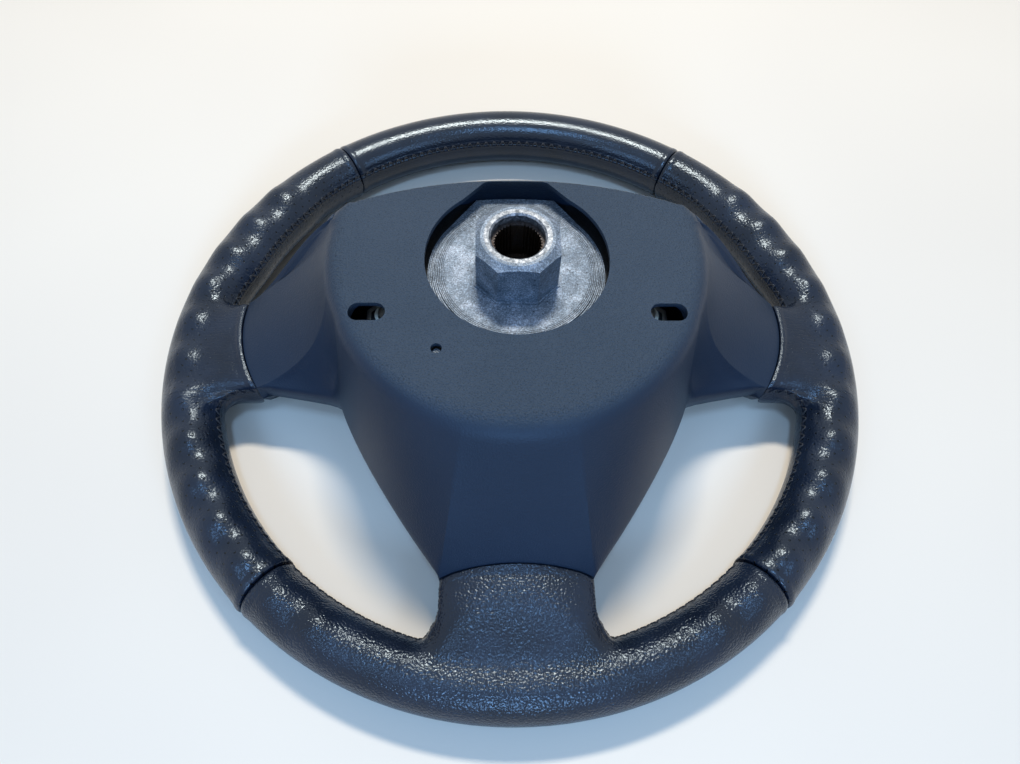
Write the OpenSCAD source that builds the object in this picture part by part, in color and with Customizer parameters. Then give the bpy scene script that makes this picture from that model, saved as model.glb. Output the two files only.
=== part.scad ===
// Three-spoke car steering wheel, seen and used from both sides.
// +Z points along the steering axis to the column, and +Y is twelve o'clock.
// The origin lies on the axis, in the hub's end face. The wheel rests on its rim, face down.

/* [Rim] */
// Outside diameter of the rim, over the leather
rim_d = 370; // [350:1:390]
// Width of the rim's tube along the radius, over the leather
rim_w = 30; // [28:0.5:33]
// Height of the rim's tube over the leather
rim_h = 31; // [29:0.5:34]
// Height of the hub's end face above the rim's middle plane
hub_rise = 103.5; // [100:0.5:108]
// Thickness of the leather where it lies flat
leather_t = 1.4; // [1:0.1:2]
// Gap between two leather panels, measured along the rim
seam_gap = 0.8; // [0.4:0.1:1.5]
// Depth to which the leather's edges turn down into a seam
seam_dip = 1.2; // [0.6:0.1:1.6]
// Angle from twelve o'clock to each upper seam
upper_seam_a = 36; // [32:1:40]
// Angle from six o'clock to each lower seam
lower_seam_a = 43; // [39:1:47]
// Extra thickness of the two padded grips
grip_swell = 0.9; // [0:0.1:2]
// Height of the finger bumps on the back of the grips
bump_h = 2.2; // [0:0.1:3]
// Angle between two finger bumps
bump_pitch = 8; // [7:0.5:9]
// Angle from six o'clock to the first finger bump
bump_first = 31.3; // [29:0.1:34]
// Number of finger bumps on each side
bump_count = 13; // [8:1:13]
// Extra thickness of the thumb rest, inside the grip and above the spoke
thumb_swell = 4; // [0:0.5:6]

/* [Spoke sleeves] */
// Width of the two side spokes at the leather's edge
wing_w = 52; // [44:1:58]
// Shift of the side spokes' middle towards six o'clock
wing_shift = 1; // [-3:0.5:4]
// Shortest length of the side spokes' leather, inwards from the rim's inner side
wing_sleeve = 12.2; // [9:0.2:17]
// Radius of the edge where the leather meets the side spokes
wing_seam_r = 77; // [60:1:110]
// Height of that curved edge's middle above the axis
wing_seam_y = 13.9; // [8:0.1:18]
// Height of the side spokes' back above the rim's middle plane
wing_top = 19.5; // [17:0.5:22]
// Width of the lower spoke at the leather's edge
low_w = 70; // [62:1:76]
// Length of the lower spoke's leather in the middle, inwards from the rim's inner side
low_sleeve = 34; // [29:0.5:37]
// Radius of that edge
low_seam_r = 138.4; // [110:1:180]
// Height of the lower spoke's back above the rim's middle plane
low_top = 23.5; // [20:0.5:26]
// Height lost by the lower spoke's crowned back from middle to side
low_crown = 6; // [3:0.5:8]
// Depth of the spokes in front of the rim's middle plane
spoke_front = 7.6; // [6:0.2:9]
// Radius of the leather's corner between spoke and rim
fillet_r = 15; // [12:0.5:17]
// Radius of that corner above the side spokes
upper_fillet_r = 8; // [6:0.5:9]
// Radius of the sleeves' edges on the front side
under_round = 9; // [6:0.5:10]

/* [Rear cover] */
// Radius of the flat back
plateau_r = 85; // [82:0.5:88]
// Distance from the hub's end face down to the flat back
plateau_drop = 14; // [12:0.5:16]
// Distance from the axis to the cover's upper edge
cover_top_y = 47.5; // [46.5:0.1:49]
// Radius of the cover's arched upper edge
cover_top_r = 205; // [180:5:240]
// Wall of the rear cover
cover_wall = 2.5; // [2:0.1:3]
// Softness of the crease round the flat back
crease_r = 9; // [5:0.5:12]
// Height of the cover's lower edge above the rest plane
skirt_h = 20; // [17:0.5:23]
// Radius of the hub opening
opening_r = 41.5; // [40:0.1:43]
// Distance from the axis to the hub opening's flat top
opening_top_y = 44.6; // [43.5:0.1:44.8]
// Half length of that flat top
opening_top_w = 14.3; // [12:0.1:16]
// Length of the two release slots
slot_l = 16; // [13:0.5:18]
// Width of the release slots
slot_w = 9; // [7:0.5:10]
// Place of the right release slot
slot_at = [65, -30];
// Diameter of the sight hole
sight_d = 4.8; // [4:0.1:6]
// Place of the sight hole
sight_at = [-34.6, -48.4];

/* [Hub] */
// Width of the boss, a square with its corners cut off
boss_w = 37; // [35.5:0.5:40]
// Width of each flat that is left on the boss's four sides
boss_flat = 18; // [16:0.5:20]
// Height of the boss above the hub pad
boss_h = 24; // [21:0.5:27]
// Outside diameter of the steel insert
insert_d = 30; // [28.5:0.5:31.5]
// Length of the steel insert
insert_l = 36; // [34:0.5:38]
// Diameter of the plain pilot recess over the splines
pilot_d = 24; // [23.4:0.1:25]
// Depth of the pilot recess
pilot_l = 5; // [4:0.5:7]
// Outer diameter of the splines
spline_d = 22; // [20:0.2:22.6]
// Height of the spline teeth
spline_h = 0.75; // [0.5:0.05:1]
// Number of spline teeth, the blocked ones counted
spline_n = 40; // [30:2:48]
// Number of teeth that the locating block takes up
block_n = 3; // [2:1:4]
// Length of the splines
spline_l = 20; // [17:0.5:22]
// Diameter of the column bolt's bore
bolt_d = 16.4; // [15:0.1:17]

/* [Armature] */
// Thickness of the cast hub plate
plate_t = 7; // [6:0.5:8]
// Radius of the hub plate
plate_r = 56; // [54:0.5:60]
// Width of the side arms
arm_w = 26; // [22:1:28]
// Width of the lower arm
low_arm_w = 40; // [34:1:46]
// Thickness of the arms' web
web_t = 5; // [4:0.5:6]
// Thickness of the ribs along the arms' edges
rib_t = 3.5; // [3:0.5:5]
// Depth of those ribs under the web
rib_h = 5; // [3:0.5:5.5]
// Width of the steel channel inside the rim
core_w = 15; // [13:0.5:16]
// Depth of the steel channel inside the rim
core_h = 12; // [10:0.5:14]
// Wall of that channel
core_t = 2.5; // [2:0.25:3.5]

/* [Airbag module] */
// Radius of the airbag cover
pad_r = 73; // [70:0.5:75]
// Distance from the axis to the airbag cover's upper edge
pad_top_y = 38; // [36:0.5:38.3]
// Wall of the airbag cover
pad_wall = 3; // [2.5:0.1:3.5]
// Wall of the front surround
bezel_wall = 1.8; // [1.6:0.1:2.2]
// Gap between the airbag cover and its surround
pad_gap = 1.2; // [0.8:0.1:1.5]
// Height of the airbag cover's front above the rest plane
pad_clear = 5.5; // [4.5:0.5:7]
// Distance that the module moves when the horn is pressed
horn_travel = 2.5; // [1.5:0.1:2.8]
// Diameter of the inflator
inflator_d = 70; // [64:1:74]
// Height of the inflator
inflator_h = 34; // [30:1:36]
// Thickness of the tray's sheet
tray_t = 1.5; // [1.2:0.1:2]
// Place of the right latch pin
pin_at = [58, -22];
// Diameter of the latch pins
pin_d = 8; // [7:0.5:9]
// Diameter of the retaining wires
wire_d = 2; // [1.6:0.1:2.4]
// Outside diameter of the horn springs
spring_d = 14; // [13:0.5:16]
// Diameter of the horn springs' wire
spring_wire = 1.4; // [1:0.1:1.8]
// Number of coils of a horn spring
spring_coils = 3; // [3:1:4]

/* [Hidden] */
$fn = 64;

// Clearances between neighbouring pieces
glue = 0.6;
fit = 0.3;
weld = 0.05;
eps = 0.01;

// The rim and the rest plane
rim_z = -hub_rise;
rest_z = rim_z - rim_h / 2;
tube_r = (rim_d - rim_w) / 2;
rim_in = tube_r - rim_w / 2;
wing_reach = rim_in - wing_sleeve;
low_reach = rim_in - low_sleeve;
foam_r = min(rim_w, rim_h) / 2 - leather_t - glue;
section_n = 16;

// The spokes where the leather ends
wing_mid = -wing_shift;
wing_z = rim_z + wing_top;
low_z = rim_z + low_top;
front_z = rim_z - spoke_front;
wing_crown = 2;
edge_round = 3;

// The rear cover's levels and its seam gap
plateau_z = -plateau_drop;
skirt_z = rest_z + skirt_h;
cover_gap = 0.5;
skirt_draft = 3;
shoulder_z = rest_z + 32;

// The hub's levels
pad_z = -boss_h;
pad_t = 4;
plate_z = pad_z - pad_t;
under_z = plate_z - plate_t;
pad_step = 0.7;
arm_knee = plate_r + 12;
low_knee = arm_knee + 12;

// The airbag module's levels, at rest
pad_front_z = rest_z + pad_clear;
module_y = -14;
tray_z = under_z - 19;
tray_cut_y = pad_top_y - pad_wall - 2;
inflator_top_z = -insert_l - horn_travel - 3;
flange_t = 2;
flange_d = inflator_d + 22;
wall_h = 18;
spring_at = [[pin_at.x, pin_at.y], [-pin_at.x, pin_at.y], [0, -pin_at.x]];
wire_z = plate_z + wire_d / 2 + 0.1;
contact_z = plate_z - web_t - 0.8;
neck_d = 5.2;
stud_at = [[12, -62], [-12, -62]];
screw_at = [[46, 18], [-46, 18], [40, -30], [-40, -30]];

// Plain curve and list helpers
function turned(list) = [for (k = [len(list) - 1:-1:0]) list[k]];
function last(list) = list[len(list) - 1];
function mix(a, b, t) = a + (b - a) * t;
function curve2(a, b, c, t) = mix(mix(a, b, t), mix(b, c, t), t);
function curve3(a, b, c, d, t) = mix(curve2(a, b, c, t), curve2(b, c, d, t), t);
function smooth(t) = let (u = max(0, min(1, t))) u * u * (3 - 2 * u);
function arc_drop(r, v) = r - sqrt(r * r - v * v);
function crown_r(half, drop) = (half * half + drop * drop) / (2 * drop);

// Faces of a closed surface made of rings with n points each
function band(k0, k1, n) = [for (i = [0:n - 1]) let (j = (i + 1) % n)
    each [[k0 * n + i, k1 * n + i, k1 * n + j], [k0 * n + i, k1 * n + j, k0 * n + j]]];
function bands(first, last, n) = [for (k = [first:last - 1]) each band(k, k + 1, n)];
function cap(k, n, up) = [[for (i = [0:n - 1]) k * n + (up ? n - 1 - i : i)]];

// A solid bar through a row of rings
module bar(rings) {
    n = len(rings[0]);
    m = len(rings);
    polyhedron([for (r = rings) each r],
        concat(cap(0, n, false), bands(0, m - 1, n), cap(m - 1, n, true)), convexity = 8);
}

// A closed ring-shaped solid: its rings return to the first
module loop(rings) {
    n = len(rings[0]);
    m = len(rings);
    polyhedron([for (r = rings) each r],
        concat(bands(0, m - 1, n), band(m - 1, 0, n)), convexity = 8);
}

// A shell like a lid: outer rings from edge to middle, inner rings back to the edge
module lid(outer, inner) {
    bar_rings = concat(outer, [for (k = [len(inner) - 1:-1:0]) inner[k]]);
    n = len(outer[0]);
    a = len(outer);
    m = len(bar_rings);
    polyhedron([for (r = bar_rings) each r],
        concat(bands(0, a - 1, n), cap(a - 1, n, true), cap(a, n, false),
            bands(a, m - 1, n), band(m - 1, 0, n)), convexity = 8);
}

// Copies on both sides of the wheel
module both() {
    children();
    mirror([1, 0, 0]) children();
}

// Edge between leather and cover, in plan
function wing_edge_x(y) = wing_reach - arc_drop(wing_seam_r, y - wing_seam_y);
function low_edge_y(x) = -low_reach - arc_drop(low_seam_r, x);

// Height of each spoke's crowned back
function wing_back(y) = wing_z - arc_drop(crown_r(wing_w / 2, wing_crown), y - wing_mid);
function low_back(x) = low_z - arc_drop(crown_r(low_w / 2, low_crown), x);

// The rim's padding at angle a from six o'clock and at angle p round the tube
function bump(a, p) = let (k = (a - bump_first) / bump_pitch, q = (p - 88) / 62)
    (k < -0.5 || k > bump_count - 0.5 || abs(q) >= 1) ? 0
    : bump_h * (0.5 + 0.5 * cos(360 * k)) * pow(cos(90 * q), 2);
function thumb(a, p) = let (q = (p - 165) / 75, k = (a - 119) / 17)
    (abs(q) >= 1 || abs(k) >= 1) ? 0
    : thumb_swell * pow(cos(90 * q), 2) * smooth(1.6 * (1 - abs(k)));
function padding(a, p, swell) = swell * pow((1 + cos(p - 135)) / 2, 2) * 1.2 + bump(abs(a), p) + thumb(abs(a), p);

// Rise of the rim's back, halfway to its inner side, where a spoke runs in
function rise(a) = let (low = abs(a) < 60, v = rim_in * sin(low ? a : abs(a) - 90),
    half = low ? low_w / 2 : wing_w / 2, mid = low ? 0 : wing_mid,
    at = max(mid - half, min(mid + half, v)), top = (low ? low_back(at) : wing_back(at)) - rim_z)
    abs(a) > 130 ? 0 : 0.85 * (top - rim_h / 2 * sin(67.5)) * smooth(1 - abs(v - at) / 18);

// A ring of the rim's leather for one station, drawn in by inset and padded if inset is 0
// A station is [angle, sleeve length, back height, front height, dip, swell], and the sleeve's
// part of the ring reaches towards the hub along the direction dir
function ring(s, dir, inset) = let (a = s[0], reach = s[1], out = [sin(a), -cos(a)],
    half_w = rim_w / 2 - inset, half_h = rim_h / 2 - inset,
    w = smooth(reach / 6), far = half_w + reach)
    [for (i = [0:section_n - 1]) let (p = 360 - 360 * i / section_n,
        pad = inset > 0 ? 0 : padding(a, p, s[5]) - s[4],
        m = round(abs(180 - p) * section_n / 360), back = sin(p) > 0,
        u0 = -(half_w + pad) * cos(p), z0 = (half_h + pad) * sin(p) + (back && m == 3 && p > 90 ? rise(a) : 0),
        end_z = back ? s[2] - inset - rim_z : s[3] + inset - rim_z, t = max(0, min(1, (reach - 3) / 12)),
        u1 = back ? far * [1, 1, 1, 0.5, 0][min(4, m)] - (m == 2 ? 1.6 : 0)
            : max(u0, far * [1, 1, 0.62, 0.3, 0][min(4, m)]),
        z1 = m == 0 ? (s[2] + s[3]) / 2 - rim_z
            : back ? mix(z0, end_z, [0, 1, 1, 0, 0][min(4, m)]) - (m == 1 ? 2 : 0)
            : mix(z0, end_z, m == 1 ? 1 : t * [0, 1, 0.8, 0.12, 0][min(4, m)]),
        inner = m < 4, u = inner ? mix(u0, u1, w) : u0, z = inner ? mix(z0, z1, w) : z0,
        radial = min(u, half_w), along = max(0, u - half_w))
        [(tube_r - radial) * out.x + along * dir.x, (tube_r - radial) * out.y + along * dir.y,
            rim_z + z]];

// Stations of a plain stretch, between angles a0 and a1, step apart
function stretch(a0, a1, step, swell) = [for (k = [ceil((a0 + 0.8) / step):floor((a1 - 0.8) / step)])
    [k * step, 0, 0, 0, 0, swell]];
// Stations of a stretch that meets each bump at its top
function bumpy(a0, a1, swell) = let (step = bump_pitch / 2)
    [for (k = [ceil((a0 + 0.8 - bump_first) / step):floor((a1 - 0.8 - bump_first) / step)])
        [bump_first + k * step, 0, 0, 0, 0, swell]];
// The turned-in edge of a panel at angle a, towards the side given by way
function panel_end(a, way, swell) = let (edge = a + way * seam_gap / 2 / tube_r * 57.3,
    turn = [[edge, 0, 0, 0, seam_dip, swell], [edge + way * 0.25, 0, 0, 0, seam_dip * 0.35, swell],
        [edge + way * 0.75, 0, 0, 0, 0, swell]])
    way > 0 ? turn : [turn[2], turn[1], turn[0]];

// Places across a sleeve: how far past its side, and how much its back and front edges are
// rounded off there
function side_steps(r) = [r, 0.6 * r, 0.33 * r, 0.14 * r, 0.35];
edge_steps = [[0, 1, 1], [-0.9, 0.35, 0.6], [-2.8, 0, 0.3]];
function fillet_reach(d, r) = r - sqrt(r * r - pow(r - d, 2));

// Stations of the right side spoke, from below to above
function wing_station(y, reach, e, swell, under) = [90 + asin(y / rim_in), reach,
    wing_back(max(wing_mid - wing_w / 2, min(wing_mid + wing_w / 2, y))) - e * edge_round,
    front_z + under * under_round, 0, swell];
function wing_full(y) = sqrt(rim_in * rim_in - y * y) - wing_edge_x(y);
function wing_half(way, inset, swell) = let (side = wing_mid + way * (wing_w / 2 - inset),
    r = way > 0 ? upper_fillet_r : fillet_r)
    concat([for (d = side_steps(r)) wing_station(side + way * d, min(fillet_reach(d, r), wing_full(side)), 1, swell, 1)],
        [for (d = edge_steps) let (y = side + way * d[0]) wing_station(y, wing_full(y), d[1], swell, d[2])]);
function wing_stations(inset, swell) = concat(wing_half(-1, inset, swell),
    [for (t = [-0.5:0.5:0.5]) let (y = wing_mid + t * wing_w / 2) wing_station(y, wing_full(y), 0, swell, 0)],
    turned(wing_half(1, inset, swell)));

// Stations of the lower spoke, from left to right
function low_station(x, reach, e, under) = [asin(x / rim_in), reach,
    low_back(max(-low_w / 2, min(low_w / 2, x))) - e * edge_round, front_z + under * under_round, 0, 0];
function low_full(x) = sqrt(rim_in * rim_in - x * x) + low_edge_y(x);
function low_half(way, inset) = let (side = way * (low_w / 2 - inset))
    concat([for (d = side_steps(fillet_r)) low_station(side + way * d, fillet_reach(d, fillet_r), 1, 1)],
        [for (d = edge_steps) let (x = side + way * d[0]) low_station(x, low_full(x), d[1], d[2])]);
function low_stations(inset) = concat(low_half(-1, inset),
    [for (t = [-0.6:0.3:0.6]) let (x = t * low_w / 2) low_station(x, low_full(x), 0, 0)],
    turned(low_half(1, inset)));

// Cross-section of a spoke, its wall taken off all round, with rounded corners in front
module spoke_section(half, back, crown, inset, corner) {
    r = crown_r(half, crown);
    intersection() {
        translate([-half + inset, front_z + inset]) rounded(2 * (half - inset),
            back - front_z - 2 * inset + corner, corner);
        translate([0, back - r]) circle(r = r - inset);
    }
}
module rounded(w, h, r) {
    translate([r, 0]) square([w - 2 * r, h]);
    translate([0, r]) square([w, h - 2 * r]);
    for (x = [r, w - r], y = [r, h - r]) translate([x, y]) circle(r = r);
}

// The foam's stub in each spoke: a side view crossed with the spoke's section
function stub_line(top, reach) = [[tube_r - 4, rim_z], [tube_r - 7, rim_z + 8],
    [mix(tube_r, reach, 0.5), top - leather_t - 3.2], [reach - 12, top - leather_t - 1],
    [reach - 12, front_z], [tube_r - 7, front_z]];
module stub(width, top, crown, reach) {
    intersection() {
        translate([0, width / 2, 0]) rotate([90, 0, 0]) linear_extrude(width) polygon(stub_line(top, reach));
        translate([reach - 15, 0, 0]) rotate([90, 0, 90]) linear_extrude(tube_r - reach + 15)
            spoke_section(width / 2, top, crown, leather_t + glue + 0.5, under_round + 3);
    }
}
module wing_stub() {
    difference() {
        translate([0, wing_mid, 0]) stub(wing_w, wing_z, wing_crown, wing_reach);
        translate([wing_reach - wing_seam_r, wing_seam_y, front_z - 5])
            cylinder(r = wing_seam_r + leather_t + fit, h = 60, $fn = 96);
    }
}
module low_stub() {
    intersection() {
        rotate([0, 0, -90]) stub(low_w, low_z, low_crown, low_reach);
        translate([0, -low_reach - low_seam_r, front_z - 5])
            cylinder(r = low_seam_r - leather_t - fit, h = 60, $fn = 96);
    }
}
module foam_tube() {
    translate([0, 0, rim_z]) rotate_extrude() translate([tube_r, 0]) circle(r = foam_r);
}

// A leather panel: a skin between its outer stations and its inner ones, open where an arm enters
module leather(outer, inner, dir) {
    color([0.09, 0.1, 0.12]) difference() {
        loop(concat([for (s = outer) ring(s, dir, 0)], turned([for (s = inner) ring(s, dir, leather_t)])));
        if (norm(dir) > 0) arm_space();
    }
}
module leather_top() {
    a0 = 180 - upper_seam_a;
    a1 = 180 + upper_seam_a;
    leather(concat(panel_end(a0, 1, 0), stretch(a0, a1, 4, 0), panel_end(a1, -1, 0)),
        inner_side(a0, a1, [], 0), [0, 0]);
}
// The inner side of a panel, with the stations of its sleeve if it has one
function inner_side(a0, a1, spoke, swell) = let (e0 = panel_end(a0, 1, swell)[0], e1 = panel_end(a1, -1, swell)[2],
    s0 = len(spoke) > 0 ? spoke[0][0] : a1, s1 = len(spoke) > 0 ? last(spoke)[0] : a1)
    concat([e0], stretch(a0, s0, 6, 0), spoke, stretch(s1, a1, 6, 0), [e1]);
module leather_right_grip() {
    a0 = lower_seam_a;
    a1 = 180 - upper_seam_a;
    spoke = wing_stations(0, grip_swell);
    leather(concat(panel_end(a0, 1, grip_swell), bumpy(a0, spoke[0][0], grip_swell), spoke,
        bumpy(last(spoke)[0], a1, grip_swell), panel_end(a1, -1, grip_swell)),
        inner_side(a0, a1, wing_stations(leather_t, 0), 0), [-1, 0]);
}
module leather_left_grip() {
    mirror([1, 0, 0]) leather_right_grip();
}
module leather_bottom() {
    spoke = low_stations(0);
    side = bumpy(last(spoke)[0], lower_seam_a, 0);
    leather(concat(panel_end(-lower_seam_a, 1, 0), [for (s = turned(side)) [-s[0], 0, 0, 0, 0, 0]],
        spoke, side, panel_end(lower_seam_a, -1, 0)),
        inner_side(-lower_seam_a, lower_seam_a, low_stations(leather_t), 0), [0, 1]);
}

// Foam moulded round the rim's ring and the ends of the arms
module rim_foam() {
    color([0.25, 0.25, 0.27]) difference() {
        union() {
            foam_tube();
            both() wing_stub();
            low_stub();
        }
        core_space(0);
        arm_space();
    }
}
module core_space(d) {
    translate([0, 0, rim_z]) rotate_extrude() translate([tube_r - core_w / 2 - d, -core_h / 2 - d])
        square([core_w + 2 * d, core_h + 2 * d]);
}

// Side view of an arm: flat under the hub, a slope, and an end inside the rim
function arm_line(depth, reach, knee) = [[plate_r - 20, plate_z], [knee, plate_z],
    [reach - 14, rim_z + 9], [tube_r - core_w / 2 + core_t, rim_z + core_h / 2],
    [tube_r - core_w / 2 + core_t, rim_z + core_h / 2 - web_t],
    [reach - 12, rim_z + 9 - depth], [knee - depth * 0.7, plate_z - depth],
    [plate_r - 20, plate_z - depth]];
module arm(width, reach, knee) {
    rotate([90, 0, 0]) translate([0, 0, -width / 2]) linear_extrude(width)
        polygon(arm_line(web_t, reach, knee));
    for (y = [-width / 2, width / 2 - rib_t]) translate([0, y + rib_t, 0]) rotate([90, 0, 0])
        linear_extrude(rib_t) polygon(arm_line(rib_h + web_t, reach, knee));
}
module arms() {
    both() arm(arm_w, wing_reach, arm_knee);
    rotate([0, 0, -90]) arm(low_arm_w, low_reach, low_knee);
}
// Room for the arms in the foam and in the leather's ends
module arm_space() {
    for (way = [0, 180]) rotate([0, 0, way]) arm_room(arm_w, wing_reach);
    rotate([0, 0, -90]) arm_room(low_arm_w, low_reach);
}
module arm_room(width, reach) {
    translate([reach - 30, -width / 2 - fit, rim_z - core_h / 2])
        cube([tube_r - core_w / 2 + core_t + fit - reach + 30, width + 2 * fit, core_h + 4.5]);
}

// A circle of radius r that runs out to a flat top of half length half
module hub_outline(r, top, half) {
    circle(r = r, $fn = 96);
    polygon([[-half, top], [half, top], [r * cos(33), r * sin(33)], [-r * cos(33), r * sin(33)]]);
}
// Outline of the hub opening, and of the metal pad that shows in it, drawn in by d
module opening_shape() {
    hub_outline(opening_r, opening_top_y, opening_top_w);
}
module hub_pad_shape(d) {
    hub_outline(opening_r - 0.7 - d, opening_top_y - 0.3 - d, opening_top_w + 3.7 - 0.4 * d);
}

// Cast skeleton: hub plate, boss and three ribbed arms, whose ends are welded to the rim's ring
module armature() {
    color([0.72, 0.73, 0.74]) difference() {
        union() {
            hub_plate();
            boss();
            arms();
            pin_ears();
            sight_post();
        }
        translate([0, 0, -insert_l - eps]) cylinder(d = insert_d, h = insert_l + 2 * eps);
        for (s = [-1, 1]) translate([s * pin_at.x, pin_at.y, under_z - eps])
            cylinder(r = bush_r, h = plate_t + 2 * eps);
        hook_window();
        for (p = screw_at) translate([p.x, p.y, under_z - eps]) cylinder(r = 2.4, h = plate_t + 2 * eps);
        for (s = [-1, 1]) translate([s * mix(arm_knee, wing_reach, 0.33), 0, rim_z])
            cylinder(d = 0.7 * arm_w, h = hub_rise);
        translate([0, -mix(low_knee, low_reach, 0.3), rim_z]) cylinder(d = 0.55 * low_arm_w, h = hub_rise);
        core_space(weld);
    }
}
bush_r = pin_d / 2 + 1.8;
module hub_plate() {
    intersection() {
        union() {
            translate([0, 0, under_z]) cylinder(r = plate_r, h = plate_t, $fn = 96);
            translate([0, 0, plate_z - eps]) linear_extrude(pad_t - 2 * pad_step + eps) hub_pad_shape(0);
            translate([0, 0, plate_z]) linear_extrude(pad_t - pad_step) hub_pad_shape(2.2);
            translate([0, 0, plate_z]) linear_extrude(pad_t) hub_pad_shape(4);
        }
        translate([0, cover_top_y - cover_top_r, under_z - 1])
            cylinder(r = cover_top_r - cover_wall - 1, h = plate_t + pad_t + 2, $fn = 256);
    }
}
module boss_shape(d) {
    a = boss_w / 2 + d;
    b = boss_flat / 2 + 0.4 * d;
    polygon([[a, b], [b, a], [-b, a], [-a, b], [-a, -b], [-b, -a], [b, -a], [a, -b]]);
}
module boss() {
    chamfer = 2.6;
    foot = 0.8;
    corner_r = norm([boss_w, boss_flat]) / 2;
    intersection() {
        translate([0, 0, -insert_l]) linear_extrude(insert_l) boss_shape(0);
        union() {
            translate([0, 0, -insert_l]) cylinder(r = corner_r + 1, h = insert_l - chamfer);
            translate([0, 0, -chamfer]) cylinder(r1 = corner_r + 1, r2 = insert_d / 2 + 1.5, h = chamfer);
        }
    }
    translate([0, 0, pad_z - eps]) linear_extrude(foot) boss_shape(foot);
}
// Pressed steel ring inside the rim, a channel that is open to the front
module rim_ring() {
    color([0.5, 0.5, 0.52]) translate([0, 0, rim_z]) rotate_extrude() translate([tube_r, 0]) difference() {
        square([core_w, core_h], center = true);
        translate([0, -core_t]) square([core_w - 2 * core_t, core_h], center = true);
    }
}
module pin_ears() {
    both() translate([pin_at.x, pin_at.y, under_z]) cylinder(r = bush_r + 3.5, h = plate_t);
}
module sight_post() {
    translate([sight_at.x, sight_at.y, under_z]) cylinder(d = sight_d + 8, h = plate_t);
    translate([sight_at.x, sight_at.y, plate_z - plate_t / 2])
        cylinder(d = sight_d - 1.4, h = plate_t / 2 + plateau_z - cover_wall - plate_z - 0.5);
}
module hook_window() {
    translate([-hook_w / 2 - 2, -hook_at - 2.5, under_z]) cube([hook_w + 4, tray_t + 5, plate_t + 1]);
}

// Steel sleeve cast into the boss, with the column's splines
module steel_hub_insert() {
    color([0.6, 0.6, 0.6]) difference() {
        translate([0, 0, -insert_l]) cylinder(d = insert_d, h = insert_l);
        translate([0, 0, -pilot_l]) cylinder(d = pilot_d, h = pilot_l + eps);
        translate([0, 0, -0.8]) cylinder(d1 = pilot_d, d2 = pilot_d + 1.7, h = 0.8 + eps);
        translate([0, 0, -pilot_l - spline_l]) linear_extrude(spline_l + eps) polygon(spline_outline());
        translate([0, 0, -insert_l - eps]) cylinder(d = bolt_d, h = insert_l);
    }
}
// Teeth round the bore, with a smooth block at twelve o'clock
function spline_outline() = let (step = 360 / spline_n, r0 = spline_d / 2 - spline_h, r1 = spline_d / 2)
    [for (k = [0:spline_n - 1]) let (a = 90 + (k + block_n / 2 + 0.5) * step)
        each k < spline_n - block_n ? [r0 * [cos(a - 0.3 * step), sin(a - 0.3 * step)],
            r1 * [cos(a - 0.08 * step), sin(a - 0.08 * step)],
            r1 * [cos(a + 0.08 * step), sin(a + 0.08 * step)],
            r0 * [cos(a + 0.3 * step), sin(a + 0.3 * step)]]
        : [r0 * [cos(a), sin(a)]]];

// Half outline of the rear cover, from six to nearly twelve o'clock on the right side
// Each point is [x, y, height of the shoulder, edge rounding, hollow, crease]
function cover_arch(x) = cover_top_y - arc_drop(cover_top_r, x);
function cover_half() = let (lw = low_w / 2, lo = wing_mid - wing_w / 2, hi = wing_mid + wing_w / 2,
    foot = [lw, low_edge_y(lw) + cover_gap], root = [plateau_r + 3, lo - 9],
    tip = [wing_edge_x(lo) - cover_gap, lo], far = [wing_edge_x(hi) - cover_gap, hi],
    knee = [plateau_r + 4, hi], side = [plateau_r - 8, cover_arch(plateau_r - 8)])
    concat(
        [for (t = [0:0.25:1]) let (x = t * lw) [x, low_edge_y(x) + cover_gap, low_back(x) - t * t, 0.4, 0, crease_r]],
        [for (t = [0.12:0.11:0.9]) let (p = curve3(foot, foot + [12, 14], root + [-11, -30], root + [-1.5, -4], t))
            [p.x, p.y, mix(low_back(lw), shoulder_z, min(1, 3 * t)), 5, 0, crease_r]],
        [for (t = [0:0.25:1]) let (p = curve2(root + [-1.5, -4], root + [0, 0.5], root + [8, 2.5], t))
            [p.x, p.y, shoulder_z, 5, 0.3 + 0.5 * t, crease_r]],
        [for (t = [0.3, 0.6, 0.88]) let (p = curve2(root + [8, 2.5], root + [22, 5.5], tip, t))
            [p.x, p.y, mix(shoulder_z, wing_back(lo), t * t), 5, 0.8, crease_r]],
        [for (t = [0, 0.12, 0.3, 0.5, 0.7, 0.88, 1]) let (y = mix(lo, hi, t))
            [wing_edge_x(y) - cover_gap, y, wing_back(y) - 0.4, 0.4, 0.8 - 0.6 * t, crease_r * (1 - 0.3 * t)]],
        [for (t = [0.2:0.2:1]) let (p = mix(far, knee, t))
            [p.x, p.y, mix(wing_back(hi) - 0.4, plateau_z - 6, smooth(t) * 0.3 + t * 0.7), 2.5, 0.1, 6]],
        [for (t = [0.35, 0.7, 1]) let (p = curve2(knee, knee + [-2, 6], side, t))
            [p.x, p.y, plateau_z - 6, 2.5, 0, mix(6, 3, t)]],
        [for (t = [0.9:-0.2:0]) [t * side.x, cover_arch(t * side.x), plateau_z - 5, 2, 0, 2.5]]);
function mirrored(half) = [for (k = [len(half) - 1:-1:1]) concat([-half[k][0]], [for (i = [1:5]) half[k][i]])];
cover_right = cover_half();
cover_line = concat(cover_right, mirrored(cover_right));

// Outward directions of the outline, long enough at corners to keep a wall's thickness
function side_out(a, b) = [b[1] - a[1], a[0] - b[0]] / norm([b[0] - a[0], b[1] - a[1]]);
cover_out = [for (i = [0:len(cover_line) - 1]) let (m = len(cover_line), p = cover_line[i],
    a = side_out(cover_line[(i + m - 1) % m], p), b = side_out(p, cover_line[(i + 1) % m]))
    (a + b) / (1 + a * b)];

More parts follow.
